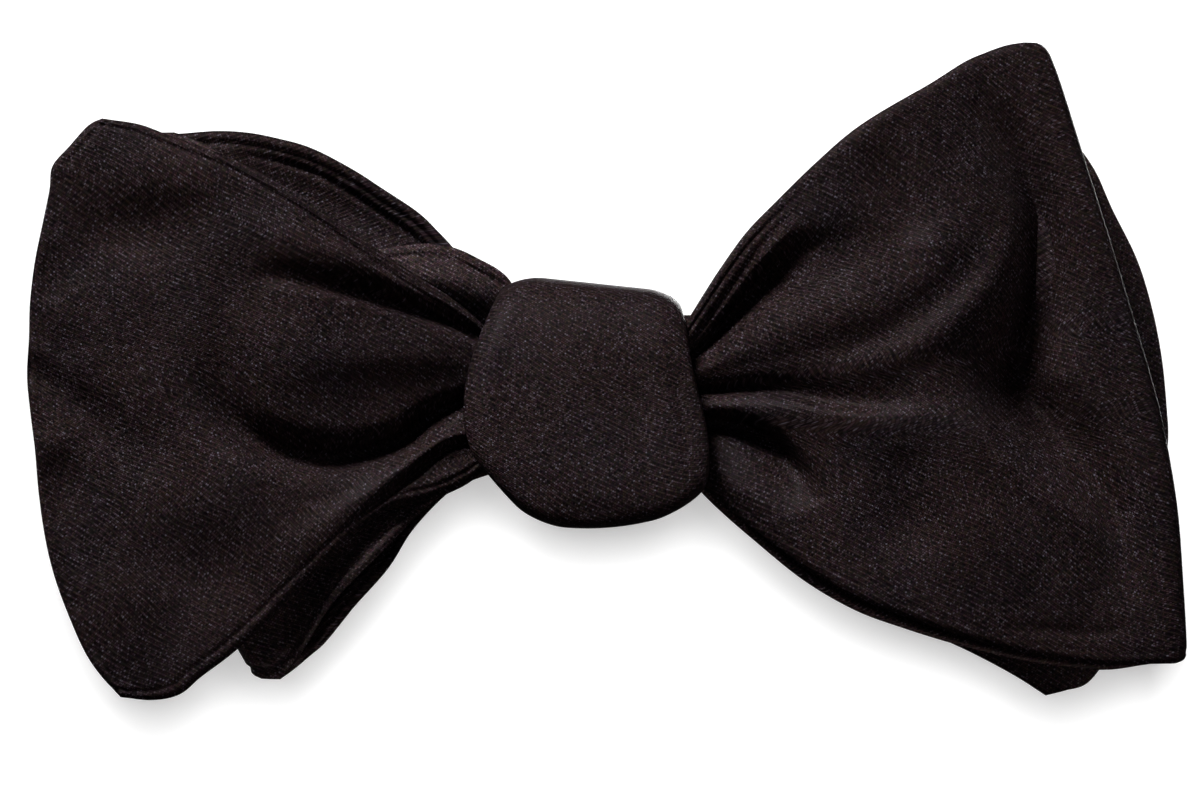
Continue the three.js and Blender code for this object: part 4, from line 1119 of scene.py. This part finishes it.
def thread_material(name):
    """Black sewing thread with its twist."""
    n = Nodes(name)
    place = n.add("ShaderNodeTexCoord").outputs["Object"]
    twist = n.add("ShaderNodeTexWave", Vector=place, Scale=900.0, Distortion=1.0)
    tones = [(0.2, (0.008, 0.006, 0.007)), (0.8, (0.03, 0.024, 0.026))]
    n.shade(Base_Color=n.ramp(twist.outputs["Fac"], tones), Roughness=0.5)
    n.bump(0.4, 0.00005, twist.outputs["Fac"])
    return n.material


def nickel(name):
    """Polished nickel plate with faint rolling marks and a few rubbed places."""
    n = Nodes(name)
    place = n.add("ShaderNodeTexCoord").outputs["Object"]
    stretched = n.add("ShaderNodeMapping", Vector=place, Scale=(300, 300, 4000))
    marks = n.noise(stretched.outputs["Vector"], 1.0, 3.0)
    rubbed = n.noise(place, 220.0, 3.0)
    n.shade(Base_Color=n.ramp(rubbed, [(0.3, (0.44, 0.43, 0.41)), (0.7, (0.60, 0.59, 0.57))]),
            Roughness=n.math("MULTIPLY_ADD", marks, 0.22, 0.10), Metallic=1.0)
    n.bump(0.15, 0.00004, marks)
    return n.material


def pale_ground():
    """The white studio ground. It glows a little, as an overlit paper sweep does."""
    n = Nodes("pale_ground")
    noise = n.add("ShaderNodeTexNoise", Scale=3.0)
    paper = n.ramp(noise.outputs["Fac"], [(0.3, (0.88, 0.88, 0.88)), (0.7, (0.91, 0.91, 0.91))])
    place = n.add("ShaderNodeTexCoord").outputs["Object"]
    split = n.add("ShaderNodeSeparateXYZ", Vector=place)
    out = n.math("SQRT", n.math("MULTIPLY_ADD", split.outputs["X"], split.outputs["X"],
                                n.math("MULTIPLY", split.outputs["Y"], split.outputs["Y"])))
    reach = n.math("MULTIPLY", out, 0.4)    # 1 at 2.5 m from the middle, past the wall
    glow = n.ramp(reach, [(0.32, (0.46,) * 3), (0.72, (0.80,) * 3)])
    on_wall = n.ramp(reach, [(0.90, (0,) * 3), (0.93, (1,) * 3)])
    # the wall straight behind the bow glows less, so that the bow's shadow shows on it
    behind_bow = n.ramp(n.math("DIVIDE", split.outputs["Y"], out), [(0.93, (0,) * 3), (0.98, (0.58,) * 3)])
    n.shade(Base_Color=paper, Roughness=0.9, Emission_Color=(1, 1, 1, 1),
            Emission_Strength=n.math("SUBTRACT", glow, n.math("MULTIPLY", on_wall, behind_bow)))
    return n.material


# ---------------------------------------------------------------------------
# Stage
# ---------------------------------------------------------------------------

LENS, SENSOR = 200, 36
LEFT_MARGIN, RIGHT_MARGIN = 0.0225, 0.0135    # of the picture's width
PICTURE_WIDTH = (BOW_RIGHT - BOW_LEFT) / (1 - LEFT_MARGIN - RIGHT_MARGIN)
CAMERA_DISTANCE = PICTURE_WIDTH * LENS / SENSOR
BOW_PLANE_Y = KNOT_MIDDLE_Y - KNOT_HALF_DEPTH + 2
CAMERA_X = BOW_LEFT + (0.5 - LEFT_MARGIN) * PICTURE_WIDTH
CAMERA_PLACE = Vector((CAMERA_X, BOW_PLANE_Y - CAMERA_DISTANCE, 0)) * MM


def add_camera():
    """Straight on to the bow, with a long lens. The bow fills the picture but for narrow margins."""
    data = bpy.data.cameras.new("camera")
    camera = bpy.data.objects.new("camera", data)
    bpy.context.scene.collection.objects.link(camera)
    data.sensor_width, data.lens = SENSOR, LENS
    camera.location = CAMERA_PLACE
    camera.rotation_euler = (math.radians(90), 0, 0)
    data.clip_start, data.clip_end = 0.01, 10
    bpy.context.scene.camera = camera


def add_sweep(material):
    """A pale round floor that curves up into a wall all the way round, well behind every camera."""
    floor_z, wall, bend, top, around = -190, 2350, 80, 3000, 96
    line = [(0.5, floor_z), (wall - bend, floor_z)]
    line += [(wall - bend + bend * math.sin(a), floor_z + bend - bend * math.cos(a))
             for a in np.linspace(0, math.pi / 2, 13)[1:]]
    line.append((wall, floor_z + top))
    angle = np.linspace(0, 2 * math.pi, around + 1)
    points = np.array([[(r * math.cos(a), r * math.sin(a), z) for a in angle] for r, z in line])
    sweep = make_mesh("sweep", points.reshape(-1, 3), grid_faces(len(line), len(angle)))
    sweep.data.materials.append(material)
    sweep.visible_diffuse = False
    sweep.visible_glossy = False
    return sweep


def add_area_light(name, place, target, size, watts, colour=(1, 1, 1)):
    """A rectangular light at a place, turned towards a target."""
    data = bpy.data.lights.new(name, "AREA")
    data.shape = "RECTANGLE"
    data.size, data.size_y = size
    data.energy = watts
    data.color = colour
    light = bpy.data.objects.new(name, data)
    bpy.context.scene.collection.objects.link(light)
    light.location = place
    light.rotation_euler = (Vector(target) - Vector(place)).to_track_quat("-Z", "Y").to_euler()
    return light


def light_only(light, receivers, name):
    """Limits what a light falls on."""
    group = bpy.data.collections.new(name)
    for receiver in receivers:
        group.objects.link(receiver)
    light.light_linking.receiver_collection = group


FRONT_LIGHTS = [
    # name, place from the knot's middle, size, watts, colour. Places and sizes are in metres.
    ("key_softbox", (-0.38, -0.44, 0.80), (0.36, 0.28), 10.6, (1, 0.97, 0.96)),
    ("front_fill", (0.12, -1.0, 0.0), (0.5, 0.5), 0.26, (0.80, 0.88, 1)),
    ("paper_bounce", (0.1, -0.66, -0.62), (0.6, 0.4), 0.85, (1, 0.70, 0.64)),
    ("side_fill", (0.92, -0.34, 0.34), (0.4, 0.4), 1.15, (1, 0.95, 0.95)),
]
LOW_CARD = ("low_card", (-0.15, -0.42, -0.85), (0.4, 0.4), 12.0, (1, 0.86, 0.82))
BACK_LIGHTS = [
    # name, place, size, watts
    ("back_key", (0.25, 1.0, 0.22), (0.4, 0.4), 6.5),
    ("back_fill", (-0.8, 0.7, 0.25), (0.5, 0.5), 3.0),
]
METAL_CARDS = [
    # name, place, size, watts
    ("card_below", (0, 0.5, -0.17), (1.2, 1.2), 2.5),
    ("card_left", (-0.9, -0.1, 0.1), (0.8, 0.8), 2),
    ("card_back", (0.1, 1.1, 0.15), (1.4, 0.5), 0.5),
    ("card_front", (0, -1.0, 0.3), (0.8, 0.6), 2),
]
LAMP_OFFSET = Vector((-0.5, 0, 5.4)) * MM     # of the lamp that draws the bow's shadow, from the camera
LAMP_SIZE = 0.0105


def add_lights(sweep, fittings, hanging):
    """A soft key above, to the left and in front with its fills, a pair of lights behind, a small lamp by
    the camera that draws the bow's shadow on the paper, a light over the paper, a low card for the cloth
    that hangs behind, and cards for the metal."""
    middle = Vector((0, KNOT_MIDDLE_Y * MM, 0))
    for name, offset, size, watts, colour in FRONT_LIGHTS:
        add_area_light(name, middle + Vector(offset), middle, size, watts, colour)
    for name, place, size, watts in BACK_LIGHTS:
        add_area_light(name, place, (0, 0, 0), size, watts)
    lamp_place = CAMERA_PLACE + LAMP_OFFSET
    lamp = add_area_light("ground_lamp", lamp_place, lamp_place + Vector((0, 1, 0)), (LAMP_SIZE,) * 2, 112)
    ceiling = add_area_light("ceiling_light", (0, 0, 1.8), (0, 0, 0), (2.4, 2.4), 40)
    for light in (lamp, ceiling):
        light_only(light, [sweep], f"{light.name}_falls_on")
    name, offset, size, watts, colour = LOW_CARD
    low_card = add_area_light(name, middle + Vector(offset), middle, size, watts, colour)
    light_only(low_card, hanging, f"{name}_falls_on")
    for name, place, size, watts in METAL_CARDS:
        card = add_area_light(name, place, (0, 0.03, 0), size, watts)
        light_only(card, fittings, f"{name}_falls_on")
    world = bpy.data.worlds.new("studio")
    world.use_nodes = True
    world.node_tree.nodes["Background"].inputs["Color"].default_value = (0.95, 0.97, 1, 1)
    world.node_tree.nodes["Background"].inputs["Strength"].default_value = 0.02
    bpy.context.scene.world = world
    bpy.context.scene.view_settings.view_transform = "Standard"


# ---------------------------------------------------------------------------
# Assembly
# ---------------------------------------------------------------------------

MATERIALS = {
    # the cloth's tones in its depths and on its raised threads, and the colour of its painted glints
    "satin": satin("satin", (0.0054, 0.0032, 0.0036), (0.046, 0.0272, 0.0262), (0.17, 0.17, 0.22)),
    # a slightly darker, duller copy of the satin for the back and inner plies: painted shade
    "satin_reverse": satin("satin_reverse", (0.0056, 0.0034, 0.0038), (0.043, 0.0262, 0.0256),
                           (0.17, 0.17, 0.21)),
    # a lighter copy of the satin: painted light for pieces that sit in shade behind others
    "satin_painted_light": satin("satin_painted_light", (0.010, 0.0065, 0.0070), (0.088, 0.056, 0.055), (0.27, 0.27, 0.33)),
    "interlining_canvas": canvas("interlining_canvas"),
    "thread": thread_material("thread"),
    "nickel_plate": nickel("nickel_plate"),
}


def finish_piece(piece, material, *nodes):
    """Gives a piece its material, and hides the CAD nodes that it stands for."""
    piece.data.materials.append(MATERIALS[material])
    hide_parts(*nodes)


def size_of_finished_cloth(piece):
    """A stand-in for the size that a piece was cut to, in metres. The width and length are its extent in
    the cloth's own coordinates. The area is that of the finished mesh itself, or width times length where
    that is smaller, so where it is the mesh's, a check of the mesh against it can't find stretched cloth."""
    corners = np.zeros(2 * len(piece.data.loops), np.float32)
    piece.data.uv_layers["cloth"].data.foreach_get("uv", corners)
    length, width = np.ptp(corners.reshape(-1, 2), axis=0) * MM
    area = sum(face.area for face in piece.data.polygons) / 2
    return (float(width), float(length)), min(float(area), float(width * length))


def declare_cloth(piece, cut_mm=None):
    """Takes the size given for a piece of cloth, or else works out its finished size; it records neither."""
    if cut_mm:
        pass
    else:
        flat, area = size_of_finished_cloth(piece)


pieces = []
pieces += add_blade("front_left_blade", FRONT_LEFT_BLADE, -1, 160, 180)
pieces += add_loop("front_right_loop", FRONT_RIGHT_LOOP, 1, 160, 180)
pieces += add_loop("rear_left_loop", REAR_LEFT_LOOP, -1, 96, 120)
pieces += add_blade("rear_right_blade", REAR_RIGHT_BLADE, 1, 96, 120)
pieces += add_knot()
pieces += add_gather("front_bow_gather")
pieces += add_gather("rear_bow_gather")
pieces += add_band(-1, LEFT_BAND_END, LEFT_BAND_END - 7.5)
pieces += add_band(1, RIGHT_BAND_END, RIGHT_BAND_END - 1)
pieces += [(add_eye_tab(), "eye_tab", "satin")]
pieces += add_bar_tack("eye_tab_bar_tack", HALF_LOOP - 24, 2.05)
pieces += add_bar_tack("band_end_bar_tack", -(LEFT_BAND_END - 3), BAND_STACK - 0.12)
for piece, node, material in pieces:
    finish_piece(piece, material, node)
    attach(piece, "tie")

strap = add_strap()
finish_piece(strap, "satin", "strap_main_run", "strap_tail_run", "strap_fold")
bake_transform(strap)

for name, side, end in (("neckband_left_slip_stitches", -1, LEFT_BAND_END - 6),
                        ("neckband_right_slip_stitches", 1, RIGHT_BAND_END - 14)):
    stitches = add_slip_stitches(name, side, 16, end)
    stitches.data.materials.append(MATERIALS["thread"])
    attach(stitches, "tie")

fittings = []
for node, body, bevel in (("eye", "tie", 0.22), ("hook", "hook", 0.2), ("size_slider", "slider", 0.2)):
    fitting = add_fitting(node, bevel)
    fittings.append(fitting)
    finish_piece(fitting, "nickel_plate", node)
    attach(fitting, body)

add_camera()
hanging = [piece for piece, node, material in pieces if node.startswith("rear_left_loop")
           or node == "front_right_loop_inner_cloth"]
add_lights(add_sweep(pale_ground()), fittings, hanging)

HELD = [
    # part of the node's name, how the cloth is held, what holds it, its given size in mm if not the finished
    # one. The knot's are estimates.
    ("knot_wrap", "folded", ["knot_lining_satin"], (30, 80)),
    ("knot_lining", "folded", ["front_bow_gather_satin", "rear_bow_gather_satin"], (17, 74)),
    ("gather", "gathered", ["knot_lining_satin"], (28, 20)),
    ("blade", "gathered", ["knot_wrap_satin"], None),
    ("loop", "folded", ["knot_wrap_satin"], None),
    ("eye_tab", "folded", ["eye_metal"], None),
    ("neckband", "stretched", ["knot_wrap_satin"], None),
]
for piece, node, material in pieces:
    if material != "thread":
        held, rests_on, cut_mm = next(row[1:] for row in HELD if row[0] in node)
        declare_cloth(piece, cut_mm)
declare_cloth(strap)
